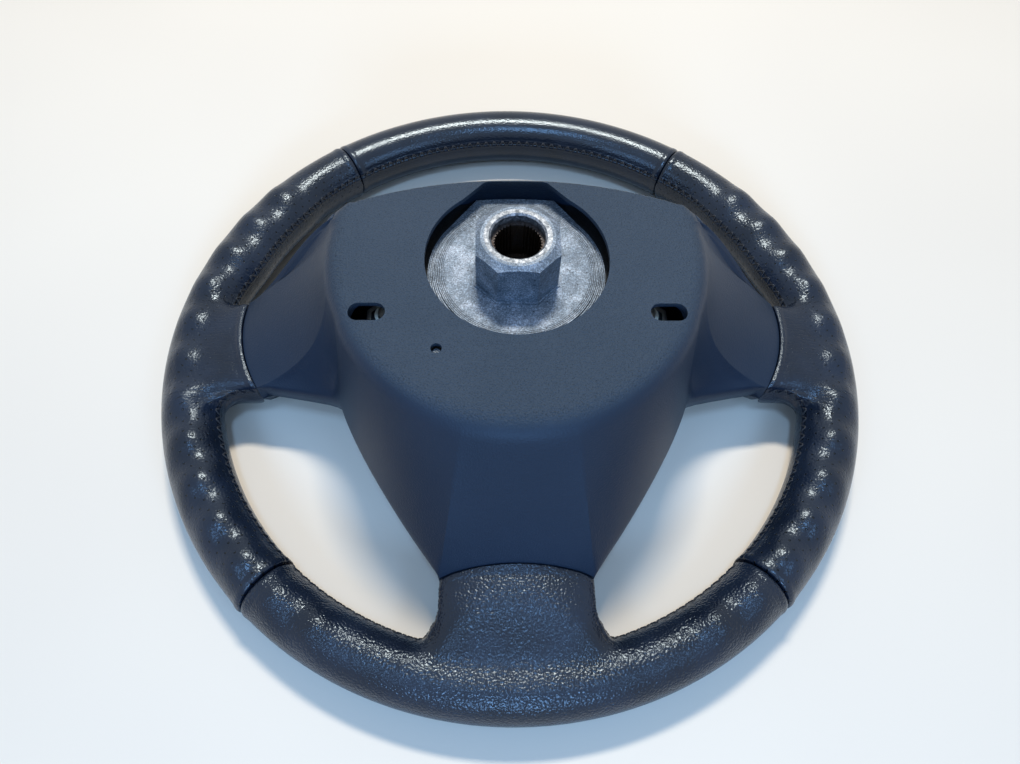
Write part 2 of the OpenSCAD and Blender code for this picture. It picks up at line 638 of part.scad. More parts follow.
// Cover profile over one outline point, from the skirt to the flat back
function draft(s) = s[3] < 1 ? 0 : skirt_draft;
function cover_points(i, wall) = let (s = cover_line[i], q = [s[0], s[1]], p = q - cover_out[i] * wall,
    u = q / norm(q), e = u * (min(plateau_r, norm(q) - 1.2) - wall), foot = p - cover_out[i] * draft(s),
    a = [foot.x, foot.y, skirt_z], b = [p.x, p.y, max(s[2] - wall, skirt_z + 2)],
    c = [e.x, e.y, plateau_z - wall], f = mix(e, p, 0.5 - 0.3 * s[4]),
    k = [f.x, f.y, mix(c.z, b.z, 0.5 + 0.42 * s[4])],
    b0 = b + (a - b) / norm(a - b) * min(s[3], norm(a - b) / 2),
    b1 = b + (k - b) / norm(k - b) * min(s[3], norm(k - b) * 0.8),
    c0 = c + (k - c) / norm(k - c) * min(s[5], norm(k - c) * 0.9), c1 = c - [u.x, u.y, 0] * s[5])
    wall == 0 ? [a, b0, curve2(b0, b, b1, 0.5), b1, curve2(b1, k, c0, 0.25), curve2(b1, k, c0, 0.5),
        curve2(b1, k, c0, 0.75), c0, curve2(c0, c, c1, 0.33), curve2(c0, c, c1, 0.66), c1]
    : [a, b, curve2(b, k, c0, 0.5), c0, c1];
function cover_rings(wall) = let (rows = [for (i = [0:len(cover_line) - 1]) cover_points(i, wall)])
    [for (k = [0:len(rows[0]) - 1]) [for (row = rows) row[k]]];

// Rear cover: one moulding from the flat back down to the three spokes, with posts for its screws
post_h = plateau_z - plate_z - 1;
screw_r = 1.7;
module rear_cover() {
    color([0.2, 0.23, 0.27]) difference() {
        union() {
            lid(cover_rings(0), cover_rings(cover_wall));
            for (p = screw_at) translate([p.x, p.y, plate_z]) cylinder(r = 4.2, h = post_h);
        }
        translate([0, 0, plate_z - 1]) linear_extrude(hub_rise) opening_shape();
        both() translate([slot_at.x, slot_at.y, plateau_z - 8]) linear_extrude(20) slot_shape();
        translate([sight_at.x, sight_at.y, plateau_z - 8]) cylinder(d = sight_d, h = 20);
        for (p = screw_at) translate([p.x, p.y, plate_z - eps]) cylinder(r = screw_r, h = 0.7 * post_h);
        both() translate([wing_reach - 18, 0, 0]) rotate([90, 0, 90]) linear_extrude(30)
            translate([wing_mid, 0]) spoke_section(wing_w / 2, wing_z - 1, wing_crown, cover_wall, edge_round);
        translate([0, -low_reach + 14, 0]) rotate([90, 0, 0]) linear_extrude(30)
            spoke_section(low_w / 2, low_z - 1, low_crown, cover_wall, edge_round);
    }
}
module slot_shape() {
    square([slot_l - slot_w, slot_w], center = true);
    for (x = [-1, 1]) translate([x * (slot_l - slot_w) / 2, 0]) circle(d = slot_w);
}

// Screws that hold the rear cover to the hub plate
module cover_screws() {
    head = 2.2;
    color([0.5, 0.5, 0.5]) for (p = screw_at) translate([p.x, p.y, under_z - head]) {
        cylinder(r = 4, h = head);
        cylinder(r = screw_r, h = head + plate_t + 0.58 * post_h);
    }
}

// Outline of the airbag cover at angle a, drawn in by d
function pad_point(a, d) = let (u = [cos(a), sin(a)], r = pad_r - d, y = cover_top_y - cover_top_r,
    arch = pad_top_y - y - d, cut = u.y * y + sqrt(arch * arch - y * y * u.x * u.x))
    u * (-ln(exp(-r / 5) + exp(-cut / 5)) * 5);
// The surround's outline at height z, drawn in by d, and by up to tuck where it faces six o'clock
function tucked(i) = let (s = cover_line[i]) s[3] < 1 && abs(s[0]) < low_w ? 0 : max(0, -cover_out[i].y);
function bezel_ring(d, z, tuck) = [for (i = [0:len(cover_line) - 1]) let (s = cover_line[i],
    p = [s[0], s[1]] - cover_out[i] * (draft(s) + d + tuck * tucked(i))) [p.x, p.y, z]];
function opening_ring(d, z) = [for (s = cover_line) let (p = pad_point(atan2(s[1], s[0]), d)) [p.x, p.y, z]];

// Front surround of the spokes, one moulding under the rear cover's edge
module front_bezel() {
    face = -front_z - 0.3;
    lip = pad_gap + 1.2;
    color([0.15, 0.16, 0.18]) difference() {
        mirror([0, 0, 1]) loop([
            bezel_ring(bezel_wall, -skirt_z + 0.2, 0),
            bezel_ring(0, -skirt_z + 0.2, 0),
            bezel_ring(0.8, face - 5, 3),
            bezel_ring(2.6, face, 7),
            opening_ring(-pad_gap, face),
            opening_ring(-pad_gap, face - 4),
            opening_ring(-lip, face - 4),
            opening_ring(-lip, face - bezel_wall),
            bezel_ring(bezel_wall + 1.6, face - bezel_wall, 6.4)]);
        translate([0, 0, 1.5]) arm_space();
    }
}

// Airbag cover: a crowned pad with side walls that run back to the tray
pad_n = 48;
function pad_ring(d, z) = [for (i = [0:pad_n - 1]) let (p = pad_point(360 * i / pad_n, d)) [p.x, p.y, z]];
module airbag_cover() {
    back = -tray_z - tray_t;
    front = -pad_front_z;
    color([0.13, 0.14, 0.16]) difference() {
        mirror([0, 0, 1]) lid(
            [pad_ring(0.6, back), pad_ring(0, front - 8), pad_ring(1, front - 5), pad_ring(4, front - 3),
                pad_ring(16, front - 1), pad_ring(30, front)],
            [pad_ring(0.6 + pad_wall, back), pad_ring(pad_wall + 0.5, front - 8),
                pad_ring(pad_wall + 4, front - 2.6 - pad_wall), pad_ring(30, front - pad_wall)]);
        rivet_row(2.1, 5.1);
    }
}

// Sheet-steel tray: its walls stand inside the airbag cover's, and a hook goes over the hub plate
tray_inset = 0.6 + pad_wall + 0.2;
hook_at = pad_r - tray_inset - 0.5;
hook_w = 12;
module pad_shape(d) {
    polygon([for (i = [0:pad_n - 1]) pad_point(360 * i / pad_n, d)]);
}
module airbag_tray() {
    color([0.55, 0.55, 0.57]) {
        difference() {
            translate([0, 0, tray_z - wall_h]) linear_extrude(wall_h + tray_t) pad_shape(tray_inset);
            translate([0, 0, tray_z - wall_h - 1]) linear_extrude(wall_h + 1) pad_shape(tray_inset + tray_t);
            translate([0, module_y, tray_z - 1]) cylinder(d = inflator_d + 1, h = 5);
            for (s = [-1, 1]) translate([s * pin_at.x, pin_at.y, tray_z - 1]) cylinder(r = 2.5, h = 5);
            for (p = nut_at) translate([p.x, p.y, tray_z - 1]) cylinder(r = stud_hole_r, h = 5);
            for (p = stud_at) translate([p.x, p.y, tray_z - 1]) cylinder(r = 1.5, h = 5);
            rivet_row(2.1, 8);
        }
        translate([-hook_w / 2, -hook_at, tray_z]) cube([hook_w, tray_t, plate_z - tray_z + fit + tray_t]);
        translate([-hook_w / 2, -hook_at - 6, plate_z + fit]) cube([hook_w, 6 + eps, tray_t]);
    }
}

// Rivets between the airbag cover's walls and the tray
rivet_angles = [200, 225, 250, 290, 315, 340];
module rivet_row(r, l) {
    for (a = rivet_angles) translate([0, 0, tray_z - 9]) rotate([0, 90, a])
        translate([0, 0, norm(pad_point(a, tray_inset + tray_t)) - 1]) cylinder(r = r, h = l, $fn = 24);
}
module cover_rivets() {
    color([0.6, 0.6, 0.6]) rivet_row(2, 5);
}

stud_hole_r = 2.7;
socket_d = 11;
socket_l = 8;
nut_at = [for (a = [45:90:315]) [(inflator_d / 2 + 7) * cos(a), module_y + (inflator_d / 2 + 7) * sin(a)]];

// Gas generator: a flanged steel can with two sockets in its back
module inflator() {
    color([0.7, 0.7, 0.68]) translate([0, module_y, 0]) difference() {
        union() {
            rotate_extrude() polygon([[0, inflator_top_z - inflator_h], [inflator_d / 2 - 4, inflator_top_z - inflator_h],
                [inflator_d / 2, inflator_top_z - inflator_h + 4], [inflator_d / 2, inflator_top_z - 4],
                [inflator_d / 2 - 4, inflator_top_z], [0, inflator_top_z]]);
            translate([0, 0, tray_z - flange_t]) cylinder(d = flange_d, h = flange_t);
        }
        for (p = nut_at) translate([p.x, p.y - module_y, tray_z - flange_t - 1])
            cylinder(r = stud_hole_r, h = flange_t + 2);
        for (s = [-1, 1]) translate([s * socket_d, -socket_d / 2, inflator_top_z - socket_l])
            cylinder(d = socket_d, h = socket_l + 1);
    }
}

// Retainer ring with studs, and the nuts on the tray's back
module cushion_ring() {
    z = tray_z - flange_t - 4;
    color([0.5, 0.5, 0.52]) {
        difference() {
            translate([0, module_y, z]) cylinder(d = flange_d, h = 1.5);
            translate([0, module_y, z - 1]) cylinder(d = inflator_d + 1.5, h = 4);
        }
        for (p = nut_at) translate([p.x, p.y, z]) cylinder(r = 2.5, h = flange_t + tray_t + 4 + 7);
    }
}
module inflator_nuts() {
    color([0.75, 0.72, 0.6]) for (p = nut_at) translate([p.x, p.y, tray_z + tray_t]) difference() {
        cylinder(r = 5.5, h = 4.5, $fn = 6);
        translate([0, 0, -1]) cylinder(r = 2.5, h = 7);
    }
}

// Folded cushion, packed round the inflator and under the cover
module airbag_cushion() {
    top = tray_z - flange_t - 4 - fit;
    bottom = pad_front_z + pad_wall + 4;
    color([0.85, 0.85, 0.82]) difference() {
        translate([0, 0, bottom]) linear_extrude(top - bottom) pad_shape(tray_inset + tray_t + 2);
        translate([0, module_y, inflator_top_z - inflator_h - fit]) cylinder(d = inflator_d + 1.5, h = inflator_h);
    }
}

// Latch pins: a foot riveted to the tray, a neck for the wire, and a cone-shaped head
module latch_pins() {
    top = wire_z + wire_d / 2 + 0.2;
    neck = wire_z - wire_d / 2 - horn_travel - 0.3;
    color([0.65, 0.65, 0.63]) both() translate([pin_at.x, pin_at.y, 0]) {
        translate([0, 0, tray_z - 1.2]) cylinder(r = 4.5, h = 1.2);
        translate([0, 0, tray_z - 1.2]) cylinder(r = 2.5, h = 5);
        translate([0, 0, tray_z + tray_t]) cylinder(d = pin_d, h = neck - tray_z - tray_t);
        translate([0, 0, neck - eps]) cylinder(d = neck_d, h = top - neck + 2 * eps);
        translate([0, 0, top]) cylinder(d1 = pin_d, d2 = 4, h = 3.5);
    }
}

// Nylon bushes that guide the latch pins in the hub plate
module pin_bushes() {
    color([0.92, 0.9, 0.82]) both() translate([pin_at.x, pin_at.y, 0]) difference() {
        union() {
            translate([0, 0, under_z]) cylinder(r = bush_r, h = plate_t);
            translate([0, 0, under_z - 1.2]) cylinder(r = bush_r + 2, h = 1.2);
        }
        translate([0, 0, under_z - 2]) cylinder(d = pin_d + 2 * fit, h = plate_t + 4);
    }
}

// Spring wire across a latch pin's neck, with a bent end under the release slot
function bend_ring(points, k) = let (p = points[k], a = points[max(0, k - 1)], b = points[min(len(points) - 1, k + 1)],
    d0 = p == a ? b - p : p - a, d1 = p == b ? p - a : b - p, t = d0 / norm(d0) + d1 / norm(d1),
    side = [-t.y, t.x, 0] / norm(t), stretch = 2 / norm(t))
    [for (j = [0:7]) let (q = 45 * j) p + side * stretch * wire_d / 2 * cos(q) + [0, 0, wire_d / 2 * sin(q)]];
module wire_path(points) {
    bar([for (k = [0:len(points) - 1]) bend_ring(points, k)]);
}
module retaining_wire_right() {
    off = neck_d / 2 + wire_d / 2 + 0.2;
    color([0.78, 0.76, 0.7]) wire_path([[pin_at.x - 10, pin_at.y + off, wire_z],
        [pin_at.x + 5, pin_at.y + off, wire_z], [pin_at.x + 8, pin_at.y + off - 3, wire_z],
        [slot_at.x + 1, slot_at.y + 2, wire_z], [slot_at.x - 1, slot_at.y, wire_z],
        [pin_at.x - 1, slot_at.y, wire_z]]);
}
module retaining_wire_left() {
    mirror([1, 0, 0]) retaining_wire_right();
}

// Horn contacts: plates under the hub plate and studs on the tray
module contact_plates() {
    color([0.8, 0.65, 0.35]) for (p = stud_at) translate([p.x - 4, p.y - 4, contact_z]) cube([8, 8, 0.8]);
}
module contact_studs() {
    top = contact_z - horn_travel - fit;
    color([0.8, 0.65, 0.35]) for (p = stud_at) translate([p.x, p.y, 0]) {
        translate([0, 0, tray_z + tray_t]) cylinder(r = 3, h = top - tray_z - tray_t - 1);
        translate([0, 0, top - 1 - eps]) cylinder(r1 = 3, r2 = 1.5, h = 1 + eps);
        translate([0, 0, tray_z]) cylinder(r = 1.5, h = tray_t + eps);
    }
}

// Horn springs, between the tray and the hub plate
spring_seg = 10;
function spring_ring(k, low, high) = let (steps = spring_coils * spring_seg, a = 360 * k / spring_seg,
    r = (spring_d - spring_wire) / 2, z = mix(low, high, k / steps))
    [for (j = [0:4]) let (q = 72 * j) [(r + spring_wire / 2 * cos(q)) * cos(a),
        (r + spring_wire / 2 * cos(q)) * sin(a), z - spring_wire / 2 * sin(q)]];
module horn_springs() {
    low = tray_z + tray_t + spring_wire / 2 + 0.1;
    color([0.7, 0.7, 0.7]) for (p = spring_at) translate([p.x, p.y, 0])
        bar([for (k = [0:spring_coils * spring_seg])
            spring_ring(k, low, under_z - spring_wire / 2 - (p.x == 0 ? 0.1 : 1.3))]);
}

armature();
rim_ring();
steel_hub_insert();
rim_foam();
leather_top();
leather_left_grip();
leather_right_grip();
leather_bottom();
rear_cover();
cover_screws();
front_bezel();
pin_bushes();
retaining_wire_left();
retaining_wire_right();
contact_plates();
horn_springs();
airbag_cover();
airbag_tray();
cover_rivets();
inflator();
inflator_nuts();
cushion_ring();
airbag_cushion();
latch_pins();
contact_studs();
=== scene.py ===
"""Looks of the car steering wheel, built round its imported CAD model. Lengths are in metres."""

import math

import bmesh
import bpy
import numpy as np
from mathutils import Euler, Matrix, Vector


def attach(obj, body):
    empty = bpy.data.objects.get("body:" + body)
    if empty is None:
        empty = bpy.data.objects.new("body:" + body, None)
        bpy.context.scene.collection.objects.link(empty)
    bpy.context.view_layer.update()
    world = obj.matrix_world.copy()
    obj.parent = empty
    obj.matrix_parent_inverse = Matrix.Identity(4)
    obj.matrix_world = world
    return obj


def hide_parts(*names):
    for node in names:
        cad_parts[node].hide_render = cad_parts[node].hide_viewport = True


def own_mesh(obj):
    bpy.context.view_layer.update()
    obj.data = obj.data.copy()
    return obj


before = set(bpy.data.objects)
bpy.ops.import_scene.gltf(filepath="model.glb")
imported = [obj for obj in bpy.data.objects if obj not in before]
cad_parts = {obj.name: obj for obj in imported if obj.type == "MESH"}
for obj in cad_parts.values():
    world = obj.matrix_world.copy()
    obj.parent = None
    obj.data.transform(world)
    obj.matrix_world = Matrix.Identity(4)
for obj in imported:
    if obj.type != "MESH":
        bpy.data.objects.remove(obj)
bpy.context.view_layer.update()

MM = 0.001

# Sizes shared with the CAD part, in millimetres
REST_Z = -119.0
RIM_Z = -103.5
TUBE_R = 170.0
HALF_W = 15.0
HALF_H = 15.5
RIM_IN = TUBE_R - HALF_W
GAP = 0.5
UPPER_SEAM = 36.0
LOWER_SEAM = 43.0
BUMP_PITCH = 8.0
BUMP_FIRST = 31.3
BUMP_COUNT = 13
WING_W, WING_MID, WING_REACH = 52.0, -1.0, 142.8
WING_SEAM_R, WING_SEAM_Y = 77.0, 13.9
WING_Z = RIM_Z + 19.5
LOW_W, LOW_REACH, LOW_SEAM_R = 70.0, 121.0, 138.4
LOW_Z = RIM_Z + 23.5
FRONT_Z = RIM_Z - 7.6
FILLET, UPPER_FILLET, UNDER_ROUND = 15.0, 8.0, 9.0
PLATEAU_R = 85.0
PLATEAU_Z = -14.0
PLATE_Z = -28.0
SKIRT_Z = REST_Z + 20
SHOULDER_Z = REST_Z + 32
TOP_Y, TOP_R = 47.5, 205.0
OPEN_R, OPEN_Y, OPEN_W = 41.5, 44.6, 14.3
SLOT_L, SLOT_W = 16.0, 9.0
SLOT_AT = (65.0, -30.0)
SIGHT_D = 4.8
SIGHT_AT = (-34.6, -48.4)
COVER_WALL = 2.5
SPRING_WIRE, SPRING_TURNS, SPRING_TOP, HORN_TRAVEL = 1.4, 3, -35.0, 2.5

# Sizes of the scene alone, in millimetres: fall of the sleeves from lip to rim, drop and width
# of a sleeve's rounded edge, step between the stations along its side, swelling of the grips,
# distances of the grips' holes, half the width of a stitch, and its step along the seam
LOW_FALL, WING_FALL = 10.2, 4.7
CORNER_DROP, EDGE_WIDTH = 3.0, 7.5
SIDE_STEP = 0.002
SWELL = 0.9
HOLE_X, HOLE_Y = 6.4, 3.2
STITCH_HALF, STITCH_STEP = 1.5, 2.6

# A sleeve nearer to six o'clock than this angle in degrees is the lower spoke's
LOW_ANGLE = 60

# Places of the stitched seams, counted in sixteenths round the section from its outer side
TOP_SEAM_AT, GRIP_SEAM_AT, BOTTOM_SEAM_AT = 9.07, 9.2, 8.5

# Strength of the pale background, and where the floor fades into it, in metres
BACKGROUND = 0.9
FADE_START, FADE_END = 0.45, 1.5


# Curves

def mix(a, b, t):
    return a + (b - a) * t


def curve2(a, b, c, t):
    return mix(mix(a, b, t), mix(b, c, t), t)


def curve3(a, b, c, d, t):
    return mix(curve2(a, b, c, t), curve2(b, c, d, t), t)


def smooth(t):
    t = np.clip(t, 0.0, 1.0)
    return t * t * (3 - 2 * t)


def arc_drop(r, v):
    """How far an arc of radius r falls at a distance v from its middle."""
    return r - np.sqrt(r * r - v * v)


def crown_r(half, drop):
    """Radius of the arc that falls by drop at a distance half from its middle."""
    return (half * half + drop * drop) / (2 * drop)


def wing_edge_x(y):
    return WING_REACH - arc_drop(WING_SEAM_R, y - WING_SEAM_Y)


def low_edge_y(x):
    return -LOW_REACH - arc_drop(LOW_SEAM_R, x)


def wing_back(y):
    y = np.clip(y, WING_MID - WING_W / 2, WING_MID + WING_W / 2)
    return WING_Z - arc_drop(crown_r(WING_W / 2, 2.0), y - WING_MID)


def low_back(x):
    x = np.clip(x, -LOW_W / 2, LOW_W / 2)
    return LOW_Z - arc_drop(crown_r(LOW_W / 2, 6.0), x)


# Meshes

def new_object(name, verts, faces, material, smooth_angle=None):
    mesh = bpy.data.meshes.new(name)
    mesh.from_pydata([tuple(v) for v in verts], [], [tuple(f) for f in faces])
    mesh.validate()
    piece = bpy.data.objects.new(name, mesh)
    bpy.context.scene.collection.objects.link(piece)
    mesh.materials.append(material)
    for p in mesh.polygons:
        p.use_smooth = True
    if smooth_angle is not None:
        mark_sharp(mesh, smooth_angle)
    return piece


def mark_sharp(mesh, angle):
    bm = bmesh.new()
    bm.from_mesh(mesh)
    for e in bm.edges:
        e.smooth = not (e.is_manifold and e.calc_face_angle(0) > math.radians(angle))
    bm.to_mesh(mesh)
    bm.free()


def face_outwards(piece):
    bm = bmesh.new()
    bm.from_mesh(piece.data)
    bmesh.ops.recalc_face_normals(bm, faces=bm.faces)
    bm.to_mesh(piece.data)
    bm.free()


def grid_faces(rows, n, flip=False):
    """Quads between rows of n points each; every row is closed on itself."""
    faces = []
    for k in range(rows - 1):
        a, b = k * n, (k + 1) * n
        for i in range(n):
            j = (i + 1) % n
            face = (a + i, b + i, b + j, a + j)
            faces.append(face[::-1] if flip else face)
    return faces


def set_uv(piece, rows, n, u, v):
    """UVs in millimetres: u[k] along the rows, v[k][i] round each row."""
    mesh = piece.data
    co = mesh.uv_layers.new(name="uv_mm").data
    for p in mesh.polygons:
        ks = [mesh.loops[l].vertex_index // n for l in p.loop_indices]
        idx = [mesh.loops[l].vertex_index % n for l in p.loop_indices]
        wrap = max(idx) == n - 1 and min(idx) == 0
        for l, k, i in zip(p.loop_indices, ks, idx):
            k = min(k, rows - 1)
            value = v[k][i]
            if wrap and i == 0:
                value = v[k][n]
            co[l].uv = (u[k], value)


def curve_at(points, places):
    """A closed smooth curve through the points, at places counted in points."""
    n = len(points)
    i = places.astype(int)
    t = (places - i)[:, None]
    p0, p1, p2, p3 = (points[(i + d) % n] for d in (-1, 0, 1, 2))
    return 0.5 * (2 * p1 + (p2 - p0) * t + (2 * p0 - 5 * p1 + 4 * p2 - p3) * t * t
                  + (3 * p1 - p0 - 3 * p2 + p3) * t ** 3)


# Leather panels

# A section is a smooth curve through 16 points, first round the rim's front from its outer side.
# AROUND has the places of the mesh on it, closer at the stitched seam and at the sleeves' lips.
POINTS = 16
TURN = 360 / POINTS
AROUND = np.concatenate([np.arange(0, 8.1, 1 / 6), np.arange(8.15, 9.6, 0.06), np.arange(9.65, 9.95, 0.1),
                         np.arange(10.0, 10.5, 0.04), np.arange(10.6, 16, 1 / 6)])
SECTION = len(AROUND)


def bump(a, p):
    """Height of the finger bumps at the angle a round the rim and p round the section."""
    k = (a - BUMP_FIRST) / BUMP_PITCH
    q = (p - 88) / 62
    if k < -0.5 or k > BUMP_COUNT - 0.5 or abs(q) >= 1:
        return 0.0
    return 2.2 * (0.5 + 0.5 * math.cos(2 * math.pi * k)) * math.cos(math.pi / 2 * q) ** 2


def thumb(a, p):
    """Height of the thumb rest above a side spoke."""
    q, k = (p - 165) / 75, (a - 119) / 17
    if abs(q) >= 1 or abs(k) >= 1:
        return 0.0
    return 4.0 * math.cos(math.pi / 2 * q) ** 2 * float(smooth(1.6 * (1 - abs(k))))


def padding(a, p, swell):
    back = (1 + math.cos(math.radians(p - 135))) / 2
    return swell * back ** 2 * 1.2 + bump(abs(a), p) + thumb(abs(a), p)


def soft_max(a, b, k):
    """The larger of a and b, with a rounded change-over of about the size k."""
    return k * np.logaddexp(a / k, b / k)


def sleeve_line(u, far, back_z, low):
    """Height of a sleeve's back over the rim's middle plane, falling from its lip to the rim."""
    top, fall = (LOW_Z - RIM_Z, LOW_FALL) if low else (WING_Z - RIM_Z, WING_FALL)
    line = top - fall * (np.clip(far - u, 0, None) / max(6.0, far - 6)) ** 2
    return -soft_max(-line, RIM_Z - back_z + 0 * u, 0.45)


def section(station, direction, seam):
    """Points round one station, and their lengths along the section.

    A station is (angle, reach of the sleeve inwards, its back z, its front z, dip, swell, lip).
    """
    a, reach, back_z, front_z, dip, swell = station[:6]
    lip = station[6] if len(station) > 6 else 0.0
    out = np.array([math.sin(math.radians(a)), -math.cos(math.radians(a))])
    low = abs(a) < LOW_ANGLE
    w = float(smooth(reach / 6))
    far = HALF_W + reach
    t = max(0.0, min(1.0, (reach - 3) / 12))
    pts = []
    for i in range(POINTS):
        p = 360 - TURN * i
        pr = math.radians(p)
        m = min(4, round(abs(180 - p) / TURN))
        back = math.sin(pr) > 1e-9
        u0, z0 = -HALF_W * math.cos(pr), HALF_H * math.sin(pr)
        end_z = (back_z if back else front_z) - RIM_Z
        if back:
            u1 = far * (1, 1, 1, 0.5, 0)[m] - (1.6 if m == 2 else 0)
            z1 = mix(z0, end_z, (0, 1, 1, 0, 0)[m]) - (2 if m == 1 else 0)
        else:
            u1 = max(u0, far * (1, 1, 0.62, 0.3, 0)[m])
            z1 = mix(z0, end_z, 1 if m == 1 else t * (0, 1, 0.8, 0.12, 0)[m])
        if m == 0:
            z1 = (back_z + front_z) / 2 - RIM_Z
        ww = w if abs(180 - p) < 90 - 1e-9 else 0.0
        pts.append((mix(u0, u1, ww), mix(z0, z1, ww)))
    uz = curve_at(np.array(pts), AROUND)
    top = (AROUND > 10) & (AROUND < 12) & (uz[:, 0] > 0)
    ratio = uz[:, 0] / HALF_W
    tube = HALF_H * np.sqrt(np.clip(1 - ratio ** 2, 0, 1)) - 8 * np.clip(ratio - 0.97, 0, None)
    joined = soft_max(tube, sleeve_line(uz[:, 0], far, back_z, low), 1.6)
    share = w * smooth((AROUND - 10.0) / 0.2) * smooth(uz[:, 0] / 3)
    uz[top, 1] = mix(uz[top, 1], joined[top], share[top])
    d = np.roll(uz, -1, 0) - np.roll(uz, 1, 0)
    d /= np.linalg.norm(d, axis=1)[:, None] + 1e-12
    normal = np.stack([d[:, 1], -d[:, 0]], 1)
    step = np.linalg.norm(np.roll(uz, -1, 0) - uz, axis=1)
    length = np.concatenate([[0], np.cumsum(step)])
    from_seam = length[:-1] - np.interp(seam, AROUND, length[:-1])
    for i in range(SECTION):
        p = 360 - TURN * AROUND[i]
        away = abs(p - 180)
        free = 1 - w * float(smooth((90 - away) / 30))
        lift = padding(a, p, swell) * free - dip
        if lip and 8.5 < AROUND[i] < 12:
            lift += lip * (0.35 if low else 0.75) * math.exp(-((far - uz[i, 0] - 1.9) / 1.5) ** 2)
        if not lip and abs(from_seam[i]) < 4:
            side = abs(from_seam[i])
            lift += 0.18 * math.exp(-((side - 1.3) / 0.7) ** 2) - 0.4 * math.exp(-(side / 0.45) ** 2)
        uz[i] += normal[i] * lift
    radial = np.minimum(uz[:, 0], HALF_W)
    along = np.maximum(0, uz[:, 0] - HALF_W)
    x = (TUBE_R - radial) * out[0] + along * direction[0]
    y = (TUBE_R - radial) * out[1] + along * direction[1]
    return np.stack([x, y, np.maximum(RIM_Z + uz[:, 1], REST_Z)], 1), length


def stretch(a0, a1, swell):
    """Stations of the plain rim between two angles in degrees."""
    n = max(2, int(round((a1 - a0) / 0.4)))
    return [(a0 + (a1 - a0) * k / n, 0, 0, 0, 0, swell) for k in range(n + 1)]


def panel_end(a, way, swell):
    """The turned-in edge of a panel, from its edge to the full height."""
    edge = a + way * math.degrees(GAP / 2 / TUBE_R)
    rows = []
    for off, dip in ((0, 2.2), (0.02, 1.1), (0.07, 0.45), (0.16, 0.1), (0.3, -0.12), (0.5, -0.3),
                     (0.75, -0.36), (1.05, -0.27), (1.35, -0.08), (1.7, 0.0)):
        rows.append((edge + way * off, 0, 0, 0, dip, swell))
    return rows if way > 0 else rows[::-1]


def fillet_reach(d, r):
    """How far a fillet of radius r reaches inwards at a distance d from the sleeve's side."""
    return r - math.sqrt(max(0, r ** 2 - (r - d) ** 2))


# Distances of the stations in a fillet from the sleeve's side, as shares of its radius
SIDE = [1, 0.95, 0.9, 0.84, 0.78, 0.72, 0.66, 0.6, 0.54, 0.48, 0.42, 0.36, 0.31, 0.26, 0.21, 0.17, 0.13,
        0.1, 0.07, 0.045, 0.025, 0.01]
# A sleeve's rounded edge: distance in from its side, share of the back's drop, share of the front's
EDGE = [(0, 1, 1), (-0.15, 0.75, 0.9), (-0.4, 0.55, 0.78), (-0.9, 0.35, 0.6), (-1.6, 0.16, 0.44),
        (-2.8, 0, 0.3), (-4.2, 0, 0.2), (-6.0, 0, 0.1)]
LOW_EDGE = [(0, 1, 1), (-0.15, 0.9, 0.9), (-0.4, 0.8, 0.78), (-0.9, 0.64, 0.6), (-1.6, 0.47, 0.44),
            (-2.8, 0.28, 0.3), (-4.2, 0.13, 0.2), (-6.0, 0.03, 0.1)]


def wing_full(y):
    """Length of a side spoke's sleeve from the rim's inner edge to the cover."""
    return math.sqrt(RIM_IN ** 2 - y * y) - wing_edge_x(y)


def wing_station(y, reach, e, under, swell, lip=0.0):
    """A station at the height y; e and under are shares of the back's and the front's drop."""
    return (90 + math.degrees(math.asin(y / RIM_IN)), reach, float(wing_back(y)) - e * CORNER_DROP,
            FRONT_Z + under * (UNDER_ROUND + 3), 0, swell, lip)


def wing_half(way, swell):
    side = WING_MID + way * WING_W / 2
    r = UPPER_FILLET if way > 0 else FILLET
    rows = []
    for d in SIDE:
        reach = min(fillet_reach(d * r, r), wing_full(side))
        drop = 1 + 0.9 * (1 - float(smooth(reach / 7)))
        rows.append(wing_station(side + way * d * r, reach, drop, 1, swell))
    n = 8 if wing_full(side) - r > 3 else 1
    rows += [wing_station(side + way * SIDE_STEP * (n - k), mix(r, wing_full(side), k / n), 1, 1, swell)
             for k in range(1, n) if r < wing_full(side)]
    for d, e, under in EDGE:
        y = side + way * d
        rows.append(wing_station(y, wing_full(y), e, under, swell, float(smooth(-d / 1.5 + 0.01))))
    return rows


def wing_stations(swell):
    half = WING_W / 2 - EDGE_WIDTH
    mid = [wing_station(y, wing_full(y), 0, 0, swell, 1.0)
           for y in np.linspace(WING_MID - half, WING_MID + half, 26)]
    return wing_half(-1, swell) + mid + wing_half(1, swell)[::-1]


def low_full(x):
    """Length of the lower spoke's sleeve from the rim's inner edge to the cover."""
    return math.sqrt(RIM_IN ** 2 - x * x) + float(low_edge_y(x))


def low_station(x, reach, e, under, lip=0.0):
    return (math.degrees(math.asin(x / RIM_IN)), reach, float(low_back(x)) - e * CORNER_DROP,
            FRONT_Z + under * UNDER_ROUND, 0, 0, lip)


def low_half(way):
    side = way * LOW_W / 2
    rows = []
    for d in SIDE:
        reach = fillet_reach(d * FILLET, FILLET)
        drop = 1 + 1.5 * (1 - float(smooth(reach / 13)))
        rows.append(low_station(side + way * d * FILLET, reach, drop, 1))
    rows += [low_station(side + way * SIDE_STEP * (12 - k), mix(FILLET, low_full(side), k / 12), 1, 1)
             for k in range(1, 12)]
    for d, e, under in LOW_EDGE:
        x = side + way * d
        rows.append(low_station(x, low_full(x), e, under, float(smooth(-d / 1.5 + 0.01))))
    return rows


